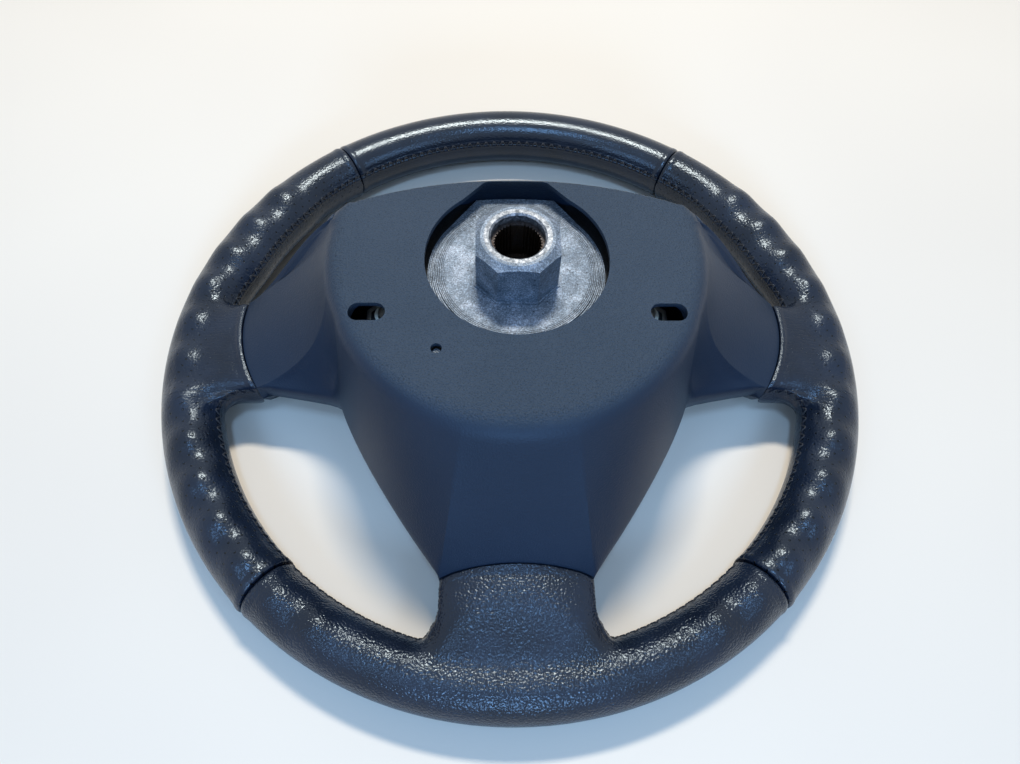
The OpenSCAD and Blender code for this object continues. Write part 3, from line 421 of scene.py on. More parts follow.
def low_stations():
    half = LOW_W / 2 - EDGE_WIDTH
    mid = [low_station(x, low_full(x), 0, 0, 1.0) for x in np.linspace(-half, half, 36)]
    return low_half(-1) + mid + low_half(1)[::-1]


def leather_panel(name, stations, direction, material, seam, mirror):
    rows, lengths = zip(*(section(s, direction, seam) for s in stations))
    rows = soften_rows(rows, stations)
    verts = np.concatenate(rows) * MM
    u = [math.radians(s[0]) * TUBE_R for s in stations]
    if mirror:
        verts[:, 0] *= -1
    n, m = SECTION, len(rows)
    faces = grid_faces(m, n, flip=mirror)
    faces.append(tuple(range(n)) if mirror else tuple(range(n - 1, -1, -1)))
    last = (m - 1) * n
    faces.append(tuple(last + n - 1 - i for i in range(n)) if mirror else tuple(last + i for i in range(n)))
    piece = new_object(name, verts, faces, material, 75)
    set_uv(piece, m, n, u, lengths)
    face_outwards(piece)
    return piece, rows, lengths


def soften_rows(rows, stations):
    """The rim's back by the spokes, smoothed along the rim so that no crease shows."""
    pts = np.array(rows)
    a = np.array([s[0] for s in stations])
    v = np.where(np.abs(a) < LOW_ANGLE, np.abs(RIM_IN * np.sin(np.radians(a))) - LOW_W / 2,
                 np.abs(RIM_IN * np.sin(np.radians(a - 90)) - WING_MID) - WING_W / 2)
    near = smooth(1 - (v - 12) / 10) if np.abs(a).max() < 150 else np.zeros(len(a))
    for i in np.where((AROUND > 10.05) & (AROUND < 11.9))[0]:
        way = np.concatenate([[0], np.cumsum(np.linalg.norm(np.diff(pts[:, i], axis=0), axis=1))])
        width = 4.5 * float(smooth((AROUND[i] - 10.05) / 0.8)) + 0.05
        step = np.gradient(way)
        weight = np.exp(-((way[:, None] - way[None, :]) / width) ** 2 / 2) * (step[None, :] + 1e-6)
        weight /= weight.sum(1)[:, None]
        share = near * float(smooth((11.9 - AROUND[i]) / 0.6))
        pts[:, i] += (weight @ pts[:, i] - pts[:, i]) * share[:, None]
    return list(pts)


def seam_runs(stations, rows, lengths, seam):
    """Runs of points on both sides of a panel's seam, left out where a sleeve's end lies."""
    runs, run = [], []
    for station, pts, length in zip(stations, rows, lengths):
        lip = station[6] if len(station) > 6 else 0.0
        if lip > 0.02 or station[4] > 0.2:
            if len(run) > 3:
                runs.append(run)
            run = []
            continue
        middle = np.interp(seam, AROUND, length[:-1])
        sides = [np.array([np.interp(middle + d, length[:-1], pts[:, c]) for c in range(3)])
                 for d in (-STITCH_HALF, STITCH_HALF)]
        run.append(sides)
    if len(run) > 3:
        runs.append(run)
    return runs


THREAD_SIDES = 6
# Rings of one stitch: share of its length, height over the leather, radius of the thread
STITCH = ((-0.04, -0.45, 0.3), (0.03, 0.02, 0.36), (0.25, 0.2, 0.38), (0.5, 0.12, 0.38), (0.75, 0.2, 0.38),
          (0.97, 0.02, 0.36), (1.04, -0.45, 0.3))


def thread_mesh(name, runs, material, mirror):
    """Slanting stitches across a seam, each a short bent thread with its ends in the leather."""
    verts, faces = [], []
    for run in runs:
        a, b = np.array([r[0] for r in run]), np.array([r[1] for r in run])
        middle = (a + b) / 2
        way = np.concatenate([[0], np.cumsum(np.linalg.norm(np.diff(middle, axis=0), axis=1))])

        def at(line, t):
            return np.array([np.interp(t, way, line[:, c]) for c in range(3)])

        count = int((way[-1] - 1.0) / STITCH_STEP)
        for k in range(count):
            t0 = 0.8 + k * STITCH_STEP
            t1 = t0 + STITCH_STEP - 0.35
            if t1 > way[-1]:
                break
            p, q = (at(a, t0), at(b, t1)) if k % 2 == 0 else (at(b, t0), at(a, t1))
            along = at(middle, min(way[-1], t1 + 0.5)) - at(middle, max(0, t0 - 0.5))
            across = at(b, (t0 + t1) / 2) - at(a, (t0 + t1) / 2)
            up = np.cross(across, along)
            up /= np.linalg.norm(up) + 1e-9
            side = np.cross(q - p, up)
            side /= np.linalg.norm(side) + 1e-9
            base = len(verts)
            for f, lift, r in STITCH:
                c = p + (q - p) * f + up * lift
                for i in range(THREAD_SIDES):
                    w = 2 * math.pi * i / THREAD_SIDES
                    verts.append(c + side * r * math.cos(w) + up * r * math.sin(w))
            for low in range(base, len(verts) - THREAD_SIDES, THREAD_SIDES):
                high = low + THREAD_SIDES
                for i in range(THREAD_SIDES):
                    i2 = (i + 1) % THREAD_SIDES
                    faces.append((low + i, low + i2, high + i2, high + i))
            faces.append(tuple(range(base, base + THREAD_SIDES))[::-1])
            faces.append(tuple(range(len(verts) - THREAD_SIDES, len(verts))))
    verts = np.array(verts) * MM
    if mirror:
        verts[:, 0] *= -1
    piece = new_object(name, verts, faces, material)
    face_outwards(piece)
    return piece


# Materials

# Colours are linear, and distances in the materials are in metres, only the UVs in millimetres

class Nodes:
    """Short calls for building a node material: values, and links for what isn't a number."""

    def __init__(self, name, color, rough, metal=0.0):
        self.mat = bpy.data.materials.new(name)
        self.mat.use_nodes = True
        self.tree = self.mat.node_tree
        self.bsdf = self.tree.nodes["Principled BSDF"]
        self.bsdf.inputs["Base Color"].default_value = (*color, 1)
        self.bsdf.inputs["Roughness"].default_value = rough
        self.bsdf.inputs["Metallic"].default_value = metal
        self.mat.diffuse_color = (*color, 1)
        self.coord = self.add("ShaderNodeTexCoord")

    def add(self, kind, **values):
        node = self.tree.nodes.new(kind)
        for k, v in values.items():
            if hasattr(node, k):
                setattr(node, k, v)
            else:
                node.inputs[k].default_value = v
        return node

    def link(self, a, b):
        self.tree.links.new(a, b)

    def math(self, op, a, b=None):
        node = self.add("ShaderNodeMath", operation=op)
        for i, v in enumerate((a, b)):
            if isinstance(v, (int, float)):
                node.inputs[i].default_value = v
            elif v is not None:
                self.link(v, node.inputs[i])
        return node.outputs[0]

    def noise(self, scale, detail, rough, distortion=0.0, coord=None):
        node = self.add("ShaderNodeTexNoise", Scale=scale, Detail=detail, Roughness=rough,
                        Distortion=distortion)
        self.link(coord or self.coord.outputs["Object"], node.inputs["Vector"])
        return node.outputs["Fac"]

    def voronoi(self, scale, feature="F1"):
        node = self.add("ShaderNodeTexVoronoi", feature=feature, Scale=scale)
        self.link(self.coord.outputs["Object"], node.inputs["Vector"])
        return node.outputs["Distance"]

    def ramp(self, fac, stops):
        node = self.add("ShaderNodeValToRGB")
        while len(node.color_ramp.elements) < len(stops):
            node.color_ramp.elements.new(0.5)
        for e, (pos, col) in zip(node.color_ramp.elements, stops):
            e.position = pos
            e.color = (*col, 1) if len(col) == 3 else col
        self.link(fac, node.inputs["Fac"])
        return node.outputs["Color"]

    def to_color(self, out):
        self.link(out, self.bsdf.inputs["Base Color"])

    def to_rough(self, fac, low, high):
        node = self.add("ShaderNodeMapRange")
        node.inputs["To Min"].default_value = low
        node.inputs["To Max"].default_value = high
        self.link(fac, node.inputs["Value"])
        self.link(node.outputs["Result"], self.bsdf.inputs["Roughness"])

    def bump(self, heights):
        """A chain of bumps: (height, distance in metres, strength)."""
        last = None
        for height, distance, strength in heights:
            node = self.add("ShaderNodeBump", Distance=distance, Strength=strength)
            self.link(height, node.inputs["Height"])
            if last is not None:
                self.link(last, node.inputs["Normal"])
            last = node.outputs["Normal"]
        self.link(last, self.bsdf.inputs["Normal"])


def mapped(m, value, low, high, to_low=0.0, to_high=1.0):
    node = m.add("ShaderNodeMapRange")
    node.interpolation_type = "SMOOTHSTEP"
    for name, v in (("From Min", low), ("From Max", high), ("To Min", to_low), ("To Max", to_high)):
        node.inputs[name].default_value = v
    m.link(value, node.inputs["Value"])
    return node.outputs["Result"]


def multiply(m, a, b, factor=1.0):
    node = m.add("ShaderNodeMix", data_type="RGBA", blend_type="MULTIPLY")
    node.inputs[0].default_value = factor
    m.link(a, node.inputs[6])
    m.link(b, node.inputs[7])
    return node.outputs[2]


def axes(m, vector):
    node = m.add("ShaderNodeSeparateXYZ")
    m.link(vector, node.inputs[0])
    return [node.outputs[c] for c in "XYZ"]


def blend(m, share, a, b):
    node = m.add("ShaderNodeMix", data_type="RGBA")
    for i, value in ((0, share), (6, a), (7, b)):
        m.link(value, node.inputs[i])
    return node.outputs[2]


def grey(m, value):
    node = m.add("ShaderNodeCombineColor")
    for i in range(3):
        m.link(value, node.inputs[i])
    return node.outputs[0]


def scaled(color, share):
    return tuple(min(1, c * share) for c in color)


def leather_material(name, holes, grain, rough, scale):
    """Pebbled leather; with holes also perforated and creased away from the sleeve."""
    color = (0.0065, 0.0115, 0.024)
    m = Nodes(name, color, rough)
    m.bsdf.inputs["Specular IOR Level"].default_value = 0.4
    m.bsdf.inputs["Specular Tint"].default_value = (0.7, 0.85, 1.0, 1)
    cells = m.voronoi(scale, "SMOOTH_F1")
    domes = m.math("SUBTRACT", 1.0, m.math("MULTIPLY", cells, cells))
    fine = m.noise(scale * 2.2, 2, 0.5)
    broad = m.noise(45, 3, 0.5)
    shade = m.ramp(broad, [(0.35, scaled(color, 0.8)), (0.7, scaled(color, 1.35))])
    m.to_rough(broad, rough - 0.06, rough + 0.08)
    heights = [(domes, 0.0005, grain), (fine, 0.00006, 0.7 * grain), (broad, 0.0015, 0.1)]
    if holes:
        x, y = axes(m, m.coord.outputs["Object"])[:2]
        along_y = m.math("ABSOLUTE", m.math("ADD", y, 0.001))
        along_x = m.math("ABSOLUTE", x)
        sleeve = m.math("MULTIPLY", mapped(m, along_y, 0.024, 0.034, 1, 0),
                        mapped(m, along_x, 0.15, 0.172, 1, 0))
        uv = m.add("ShaderNodeUVMap", uv_map="uv_mm")
        u, v = axes(m, uv.outputs["UV"])[:2]
        row = m.math("DIVIDE", v, HOLE_Y)
        odd = m.math("MULTIPLY", m.math("MODULO", m.math("FLOOR", row), 2.0), 0.5)
        column = m.math("ADD", m.math("DIVIDE", u, HOLE_X), odd)
        fx = m.math("MULTIPLY", m.math("SUBTRACT", m.math("FRACT", column), 0.5), HOLE_X)
        fy = m.math("MULTIPLY", m.math("SUBTRACT", m.math("FRACT", row), 0.5), HOLE_Y)
        dist = m.math("SQRT", m.math("ADD", m.math("MULTIPLY", fx, fx), m.math("MULTIPLY", fy, fy)))
        hole = m.math("MAXIMUM", mapped(m, dist, 0.32, 0.58), sleeve)
        shade = multiply(m, shade, grey(m, m.math("ADD", m.math("MULTIPLY", hole, 0.85), 0.15)))
        heights.append((hole, 0.0005, 1.0))
        creases = m.add("ShaderNodeCombineXYZ")
        m.link(m.math("MULTIPLY", u, 0.85), creases.inputs["X"])
        m.link(m.math("MULTIPLY", v, 0.11), creases.inputs["Y"])
        crease = m.noise(1.0, 3, 0.6, 0.4, coord=creases.outputs[0])
        strength = m.math("ADD", m.math("MULTIPLY", sleeve, 0.6), 0.15)
        heights.append((m.math("MULTIPLY", crease, strength), 0.0006, 0.6))
    m.to_color(shade)
    m.bump(heights)
    return m.mat


def cover_material(name):
    """Grained and paler on the flat back, smoother and darker on the sloping sides."""
    m = Nodes(name, (0.026, 0.036, 0.052), 0.5)
    m.bsdf.inputs["Specular IOR Level"].default_value = 0.3
    m.bsdf.inputs["Specular Tint"].default_value = (0.62, 0.8, 1.0, 1)
    z = axes(m, m.coord.outputs["Object"])[2]
    flat = mapped(m, z, -0.0175, -0.0142)
    cells = m.voronoi(1250, "SMOOTH_F1")
    fine = m.noise(2300, 3, 0.65)
    broad = m.noise(20, 3, 0.5)
    speck = mapped(m, m.noise(1500, 2, 0.7), 0.52, 0.68)
    side = m.ramp(broad, [(0.3, (0.009, 0.018, 0.037)), (0.7, (0.012, 0.022, 0.044))])
    back = m.ramp(broad, [(0.3, (0.024, 0.038, 0.06)), (0.7, (0.03, 0.045, 0.069))])
    dots = m.math("SUBTRACT", 1.0, m.math("MULTIPLY", m.math("MULTIPLY", speck, 0.6), flat))
    m.to_color(multiply(m, blend(m, flat, side, back), grey(m, dots)))
    m.to_rough(flat, 0.46, 0.58)
    level = m.math("ADD", m.math("MULTIPLY", flat, 0.7), 0.3)
    m.bump([(m.math("MULTIPLY", cells, level), 0.0004, 1.0),
            (m.math("MULTIPLY", fine, level), 0.0002, 1.0)])
    return m.mat


def plastic_material(name, color, rough, grain, scale=1500):
    m = Nodes(name, color, rough)
    m.bsdf.inputs["Specular IOR Level"].default_value = 0.45
    cells = m.voronoi(scale, "SMOOTH_F1")
    fine = m.noise(scale * 1.6, 2, 0.6)
    broad = m.noise(18, 3, 0.5)
    m.to_color(m.ramp(broad, [(0.35, scaled(color, 0.88)), (0.7, scaled(color, 1.15))]))
    m.to_rough(broad, rough - 0.03, rough + 0.05)
    m.bump([(cells, 0.0002, grain), (fine, 0.0001, grain * 0.6)])
    return m.mat


def cast_material(name):
    """Sandy cast metal with machined rings on the hub; painted shade darkens everything below the hub's top
    nearly to black, beyond the opening.
    """
    m = Nodes(name, (0.3, 0.32, 0.35), 0.45, 0.5)
    x, y, z = axes(m, m.coord.outputs["Object"])
    radius = m.math("SQRT", m.math("ADD", m.math("MULTIPLY", x, x), m.math("MULTIPLY", y, y)))
    # Mask of the hub's top: the rings are cut only on it, and below it the metal gets painted shade
    high = mapped(m, z, -0.0275, -0.026)
    broad = m.noise(75, 5, 0.68, 0.3)
    sand = m.noise(1400, 3, 0.75)
    spots = m.voronoi(330)
    color = m.ramp(broad, [(0.3, (0.08, 0.11, 0.15)), (0.5, (0.14, 0.18, 0.23)),
                           (0.68, (0.27, 0.32, 0.39))])
    grain = m.ramp(sand, [(0.34, (0.28, 0.3, 0.33)), (0.52, (0.9, 0.9, 0.92)), (0.66, (1.8, 1.85, 1.9))])
    pits = m.ramp(m.math("MULTIPLY", spots, m.math("ADD", broad, 0.2)),
                  [(0.05, (0.12, 0.12, 0.13)), (0.13, (1, 1, 1))])
    color = multiply(m, multiply(m, color, grain, 0.85), pits, 0.8)
    wavy = m.math("ADD", radius, m.math("MULTIPLY", broad, 0.0006))
    turned = m.math("SINE", m.math("MULTIPLY", wavy, 7800))
    edge = m.math("MULTIPLY", mapped(m, radius, 0.0325, 0.0345), high)
    lines = m.math("MULTIPLY", mapped(m, turned, 0.2, 0.9), edge)
    color = multiply(m, color, grey(m, m.math("SUBTRACT", 1.0, m.math("MULTIPLY", lines, 0.7))))
    # Painted shade: below the hub's top the colour falls to 7 percent, nearly black
    color = multiply(m, color, grey(m, m.math("ADD", m.math("MULTIPLY", high, 0.93), 0.07)))
    m.to_color(color)
    m.to_rough(sand, 0.32, 0.62)
    m.bump([(broad, 0.0006, 0.3), (sand, 0.0002, 1.0), (lines, 0.0003, 0.6), (spots, 0.0002, 0.3)])
    return m.mat


def metal_material(name, color, rough):
    m = Nodes(name, color, rough, 1.0)
    broad = m.noise(80, 4, 0.6)
    fine = m.noise(900, 3, 0.6)
    m.to_color(m.ramp(broad, [(0.3, scaled(color, 0.7)), (0.7, scaled(color, 1.15))]))
    m.to_rough(fine, max(0.05, rough - 0.08), rough + 0.12)
    m.bump([(fine, 0.0001, 0.3)])
    return m.mat


def bore_material(name):
    """Machined steel, scuffed on its end face, with painted shade making it dark brown inside the splined
    bore.
    """
    m = Nodes(name, (0.15, 0.165, 0.185), 0.45, 0.85)
    z = axes(m, m.coord.outputs["Object"])[2]
    outside = mapped(m, z, -0.006, -0.002)
    scuffs = m.noise(420, 5, 0.75, 0.6)
    fine = m.noise(1500, 3, 0.7)
    face = m.ramp(scuffs, [(0.36, (0.05, 0.06, 0.075)), (0.5, (0.15, 0.17, 0.2)),
                           (0.66, (0.34, 0.37, 0.42))])
    # Painted shade: the bore's inside below its end face is coloured near-black brown
    inside = m.ramp(fine, [(0.35, (0.012, 0.007, 0.004)), (0.7, (0.045, 0.028, 0.018))])
    m.to_color(blend(m, outside, inside, face))
    m.to_rough(fine, 0.36, 0.62)
    m.bump([(scuffs, 0.0002, 0.5), (fine, 0.00012, 0.8)])
    return m.mat


def cloth_material(name, color):
    m = Nodes(name, color, 0.8)
    wave = m.add("ShaderNodeTexWave", Scale=900)
    m.link(m.coord.outputs["Object"], wave.inputs["Vector"])
    m.bump([(wave.outputs["Fac"], 0.0002, 0.5)])
    return m.mat


LEATHER_SMOOTH = leather_material("leather_smooth", False, 0.25, 0.22, 1000)
LEATHER_HOLED = leather_material("leather_perforated", True, 0.36, 0.25, 950)
LEATHER_GRAIN = leather_material("leather_pebbled", False, 0.8, 0.22, 1000)
COVER_GRAIN = cover_material("cover_grained")
BEZEL_GRAIN = plastic_material("bezel_grained", (0.02, 0.026, 0.036), 0.5, 0.7)
PAD_GRAIN = plastic_material("pad_grained", (0.022, 0.027, 0.036), 0.55, 0.9)
CAST = cast_material("cast_aluminium")
STEEL = bore_material("machined_steel")
SHEET = metal_material("sheet_steel", (0.5, 0.5, 0.52), 0.4)
ZINC = metal_material("zinc_steel", (0.62, 0.6, 0.55), 0.35)
WIRE = metal_material("spring_wire", (0.6, 0.58, 0.55), 0.3)
BRASS = metal_material("contact_brass", (0.72, 0.52, 0.22), 0.3)
NYLON = plastic_material("white_nylon", (0.75, 0.72, 0.62), 0.45, 0.1)
FOAM = plastic_material("moulded_foam", (0.03, 0.03, 0.034), 0.8, 0.5)
FOLDED = cloth_material("woven_nylon", (0.6, 0.6, 0.55))
THREAD = plastic_material("thread", (0.008, 0.012, 0.02), 0.5, 0.6, 3500)

node_materials = {
    "armature": CAST, "rim_ring": SHEET, "steel_hub_insert": STEEL, "rim_foam": FOAM,
    "leather_top": LEATHER_SMOOTH, "leather_left_grip": LEATHER_HOLED,
    "leather_right_grip": LEATHER_HOLED, "leather_bottom": LEATHER_GRAIN,
    "rear_cover": COVER_GRAIN, "cover_screws": ZINC, "front_bezel": BEZEL_GRAIN, "pin_bushes": NYLON,
    "retaining_wire_left": WIRE, "retaining_wire_right": WIRE, "contact_plates": BRASS,
    "horn_springs": WIRE, "airbag_cover": PAD_GRAIN, "airbag_tray": SHEET, "cover_rivets": ZINC,
    "inflator": SHEET, "inflator_nuts": ZINC, "cushion_ring": SHEET, "airbag_cushion": FOLDED,
    "latch_pins": ZINC, "contact_studs": BRASS}
for node_name, node_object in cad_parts.items():
    node_object.data.materials.clear()
    node_object.data.materials.append(node_materials[node_name])


# The leather panels, one piece for each CAD node

def add_panel(name, node, stations, direction, material, seam, mirror=False):
    piece, rows, lengths = leather_panel(name, stations, direction, material, seam, mirror)
    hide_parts(node)
    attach(piece, "wheel")
    runs = seam_runs(stations, rows, lengths, seam)
    thread = thread_mesh(name.replace("panel", "stitches"), runs, THREAD, mirror)
    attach(thread, "wheel")


top_a0, top_a1 = 180 - UPPER_SEAM, 180 + UPPER_SEAM
end0, end1 = panel_end(top_a0, 1, 0), panel_end(top_a1, -1, 0)
add_panel("leather_top_panel", "leather_top",
          end0 + stretch(end0[-1][0] + 0.3, end1[0][0] - 0.3, 0) + end1,
          (0, 0), LEATHER_SMOOTH, TOP_SEAM_AT)

spoke = wing_stations(SWELL)
end0, end1 = panel_end(LOWER_SEAM, 1, SWELL), panel_end(180 - UPPER_SEAM, -1, SWELL)
grip = end0 + stretch(end0[-1][0] + 0.3, spoke[0][0] - 0.2, SWELL) + spoke \
    + stretch(spoke[-1][0] + 0.2, end1[0][0] - 0.3, SWELL) + end1
# The grips' ends stand a little proud of the bottom panel
grip = [(*g[:4], g[4] - 0.45 * math.exp(-((g[0] - LOWER_SEAM) / 2.2) ** 2), *g[5:]) for g in grip]
add_panel("leather_right_panel", "leather_right_grip", grip, (-1, 0), LEATHER_HOLED, GRIP_SEAM_AT)
add_panel("leather_left_panel", "leather_left_grip", grip, (-1, 0), LEATHER_HOLED, GRIP_SEAM_AT, True)

spoke = low_stations()
end0, end1 = panel_end(-LOWER_SEAM, 1, 0), panel_end(LOWER_SEAM, -1, 0)
add_panel("leather_bottom_panel", "leather_bottom",
          end0 + stretch(end0[-1][0] + 0.3, spoke[0][0] - 0.2, 0) + spoke
          + stretch(spoke[-1][0] + 0.2, end1[0][0] - 0.3, 0) + end1, (0, 1), LEATHER_GRAIN, BOTTOM_SEAM_AT)


# Rear cover

def cover_arch(x):
    return TOP_Y - float(arc_drop(TOP_R, x))


def cover_half():
    """Half the cover's outline: (x, y, edge z, its rounding, hollow, the flat back's rounding)."""
    lw, lo, hi = LOW_W / 2, WING_MID - WING_W / 2, WING_MID + WING_W / 2
    gap, low_gap = GAP, 1.1

    def v(*p):
        return np.array(p, float)

    foot, root = v(lw, low_edge_y(lw) + low_gap), v(PLATEAU_R + 3, lo - 9)
    tip, far = v(wing_edge_x(lo) - gap, lo), v(wing_edge_x(hi) - gap, hi)
    knee, side = v(PLATEAU_R + 4, hi), v(PLATEAU_R - 8, cover_arch(PLATEAU_R - 8))
    rows = []
    for t in np.linspace(0, 1, 22):
        x = t * lw
        rows.append((x, low_edge_y(x) + low_gap, low_back(x) - t * t, 0.4, 0, 9))
    for t in np.linspace(0.03, 1, 34):
        p = curve3(foot, foot + v(12, 14), root + v(-11, -30), root + v(-1.5, -4), t)
        rows.append((*p, mix(low_back(lw), SHOULDER_Z, min(1, 3 * t)), mix(0.4, 5, min(1, t * 6)), 0, 9))
    for t in np.linspace(0.05, 1, 18):
        p = curve2(root + v(-1.5, -4), root + v(0, 0.5), root + v(8, 2.5), t)
        rows.append((*p, SHOULDER_Z, 5, mix(0, 0.8, smooth(t)), 9))
    for t in np.linspace(0.05, 0.98, 24):
        p = curve2(root + v(8, 2.5), root + v(22, 5.5), tip, t)
        rows.append((*p, mix(SHOULDER_Z, wing_back(lo), t * t),
                     mix(5, 0.4, max(0, (t - 0.85) / 0.15)), 0.8, 9))
    for t in np.linspace(0, 1, 34):
        y = mix(lo, hi, t)
        rows.append((wing_edge_x(y) - gap, y, wing_back(y) - 0.4, 0.4, 0.8 - 0.6 * t, 9 * (1 - 0.3 * t)))
    for t in np.linspace(0.03, 1, 28):
        p = mix(far, knee, t)
        rows.append((*p, mix(wing_back(hi) - 0.4, PLATEAU_Z - 6, smooth(t) * 0.3 + t * 0.7),
                     mix(0.4, 2.5, min(1, t * 8)), 0.2 - 0.1 * t, 6))
    for t in np.linspace(0.08, 1, 14):
        p = curve2(knee, knee + v(-2, 6), side, t)
        rows.append((*p, PLATEAU_Z - 6, 2.5, 0, mix(6, 3, t)))
    for t in np.linspace(0.97, 0.015, 40):
        rows.append((t * side[0], cover_arch(t * side[0]), PLATEAU_Z - 5, 2, 0, 2.5))
    return rows


def cover_outline():
    """The outline's points all round, and the way outwards at each of them."""
    half = cover_half()
    left = [(-r[0], *r[1:]) for r in half[:0:-1]]
    rows = np.array([[float(x) for x in r] for r in half + left])
    nxt, prv = np.roll(rows, -1, 0)[:, :2], np.roll(rows, 1, 0)[:, :2]

    def side_out(a, b):
        d = b - a
        d = np.stack([d[:, 1], -d[:, 0]], 1)
        return d / np.linalg.norm(d, axis=1)[:, None]

    a, b = side_out(prv, rows[:, :2]), side_out(rows[:, :2], nxt)
    return rows, (a + b) / (1 + (a * b).sum(1))[:, None]


def cover_profile(s, out, wall):
    """One section of the cover, from the skirt's foot over the edge to the flat back."""
    q = s[:2]
    p = q - out * wall
    u = q / np.linalg.norm(q)
    e = u * (min(PLATEAU_R, np.linalg.norm(q) - 1.2) - wall)
    draft = 3 * float(smooth((s[3] - 0.4) / 1.6))
    foot = p - out * draft
    a = np.array([*foot, SKIRT_Z])
    b = np.array([*p, max(s[2] - wall, SKIRT_Z + 2)])
    c = np.array([*e, PLATEAU_Z - wall])
    f = mix(e, p, 0.5 - 0.3 * s[4])
    k = np.array([*f, mix(c[2], b[2], 0.5 + 0.42 * s[4])])

    def toward(x, y, d):
        return x + (y - x) / np.linalg.norm(y - x) * d

    b0 = toward(b, a, min(s[3], np.linalg.norm(a - b) / 2))
    b1 = toward(b, k, min(s[3], np.linalg.norm(k - b) * 0.8))
    c0 = toward(c, k, min(s[5], np.linalg.norm(k - c) * 0.9))
    c1 = c - np.array([*u, 0]) * s[5]
    if wall:
        return [a, b, curve2(b, k, c0, 0.5), c0, c1]
    rows = [a] + [mix(a, b0, t) for t in (0.33, 0.66)] + [b0]
    rows += [curve2(b0, b, b1, t) for t in (0.2, 0.4, 0.6, 0.8)] + [b1]
    rows += [curve2(b1, k, c0, t) for t in np.linspace(0.08, 0.92, 12)] + [c0]
    rows += [curve2(c0, c, c1, t) for t in np.linspace(0.12, 0.88, 7)] + [c1]
    rows.append(mix(c1, np.array([0, 0, c[2]]), 0.1))
    return rows


def soften_rings(rings, line, first):
    """The slopes between edge and flat back, smoothed along the rings so that no crease shows."""
    q = line[:, :2]
    way = np.concatenate([[0], np.cumsum(np.linalg.norm(np.roll(q, -1, 0) - q, axis=1))])
    gap = np.abs(way[:-1, None] - way[None, :-1])
    gap = np.minimum(gap, way[-1] - gap)
    step = (np.roll(way[:-1], -1) - np.roll(way[:-1], 1)) % way[-1] / 2
    weight = np.exp(-(gap / 8.0) ** 2 / 2) * step[None, :]
    weight /= weight.sum(1)[:, None]
    reach = smooth((np.linalg.norm(q, axis=1) - PLATEAU_R - 2) / 10)
    last = len(rings) - 2
    for k in range(first, len(rings)):
        share = reach * smooth((k - first) / 5) if k < last - 7 else reach
        rings[k][:, 2] += (weight @ rings[k][:, 2] - rings[k][:, 2]) * share
    return rings


def cover_shell(material):
    line, out = cover_outline()
    n = len(line)
    outer = np.array([cover_profile(s, o, 0) for s, o in zip(line, out)]).transpose(1, 0, 2)
    inner = np.array([cover_profile(s, o, COVER_WALL) for s, o in zip(line, out)]).transpose(1, 0, 2)
    outer = soften_rings(outer, line, 8)
    rings = np.concatenate([outer, inner[::-1]])
    m, a = len(rings), len(outer)
    faces = []
    for k in list(range(a - 1)) + list(range(a, m)):
        b = (k + 1) % m
        for i in range(n):
            j = (i + 1) % n
            faces.append((k * n + i, k * n + j, b * n + j, b * n + i))
    faces.append(tuple((a - 1) * n + i for i in range(n)))
    faces.append(tuple(a * n + n - 1 - i for i in range(n)))
    return new_object("rear_cover_shell", rings.reshape(-1, 3) * MM, faces, material)


def prism(name, outline, z0, z1):
    n = len(outline)
    verts = [(x * MM, y * MM, z * MM) for z in (z0, z1) for x, y in outline]
    faces = [tuple(range(n - 1, -1, -1)), tuple(range(n, 2 * n))]
    faces += [(i, (i + 1) % n, n + (i + 1) % n, n + i) for i in range(n)]
    return new_object(name, verts, faces, COVER_GRAIN)


def opening_outline():
    """The hub opening: a circle that runs out to a flat top, its corners softened."""
    corner = (OPEN_R * math.cos(math.radians(33)), OPEN_R * math.sin(math.radians(33)))
    dx, dy = OPEN_W - corner[0], OPEN_Y - corner[1]
    radii = []
    angles = np.linspace(0, 2 * math.pi, 260, endpoint=False)
    for a in angles:
        ux, uy = abs(math.cos(a)), math.sin(a)
        best = OPEN_R
        if uy > corner[1] / OPEN_R:
            side = (corner[0] * dy - corner[1] * dx) / (ux * dy - uy * dx)
            best = max(OPEN_R, min(OPEN_Y / uy, side))
        radii.append(best)
    radii = np.array(radii)
    for _ in range(2):
        radii = (np.roll(radii, 1) + 2 * radii + np.roll(radii, -1)) / 4
    return [(r * math.cos(a), r * math.sin(a)) for r, a in zip(radii, angles)]


def slot_outline(cx, cy):
    pts = []
    for sgn in (1, -1):
        for t in np.linspace(-90, 90, 15):
            a = math.radians(t if sgn > 0 else t + 180)
            pts.append((cx + sgn * (SLOT_L - SLOT_W) / 2 + SLOT_W / 2 * math.cos(a),
                        cy + SLOT_W / 2 * math.sin(a)))
    return pts


def apply_boolean(piece, cutter):
    mod = piece.modifiers.new("cut", "BOOLEAN")
    mod.operation = "DIFFERENCE"
    mod.solver = "EXACT"
    mod.object = cutter
    bpy.context.view_layer.update()
    deps = bpy.context.evaluated_depsgraph_get()
    mesh = bpy.data.meshes.new_from_object(piece.evaluated_get(deps))
    piece.modifiers.clear()
    piece.data = mesh
    bpy.data.objects.remove(cutter)


def round_outline(cx, cy, r):
    turns = [2 * math.pi * k / 32 for k in range(32)]
    return [(cx + r * math.cos(a), cy + r * math.sin(a)) for a in turns]


CUT_LOW, CUT_HIGH = PLATEAU_Z - 8, 5
cover = cover_shell(COVER_GRAIN)
apply_boolean(cover, prism("opening", opening_outline(), PLATE_Z - 1, CUT_HIGH))
for sx in (1, -1):
    outline = slot_outline(sx * SLOT_AT[0], SLOT_AT[1])
    apply_boolean(cover, prism("slot", outline, CUT_LOW, CUT_HIGH))
apply_boolean(cover, prism("sight", round_outline(*SIGHT_AT, SIGHT_D / 2), CUT_LOW, CUT_HIGH))
for p in cover.data.polygons:
    p.use_smooth = True
mark_sharp(cover.data, 32)
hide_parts("rear_cover")
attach(cover, "wheel")
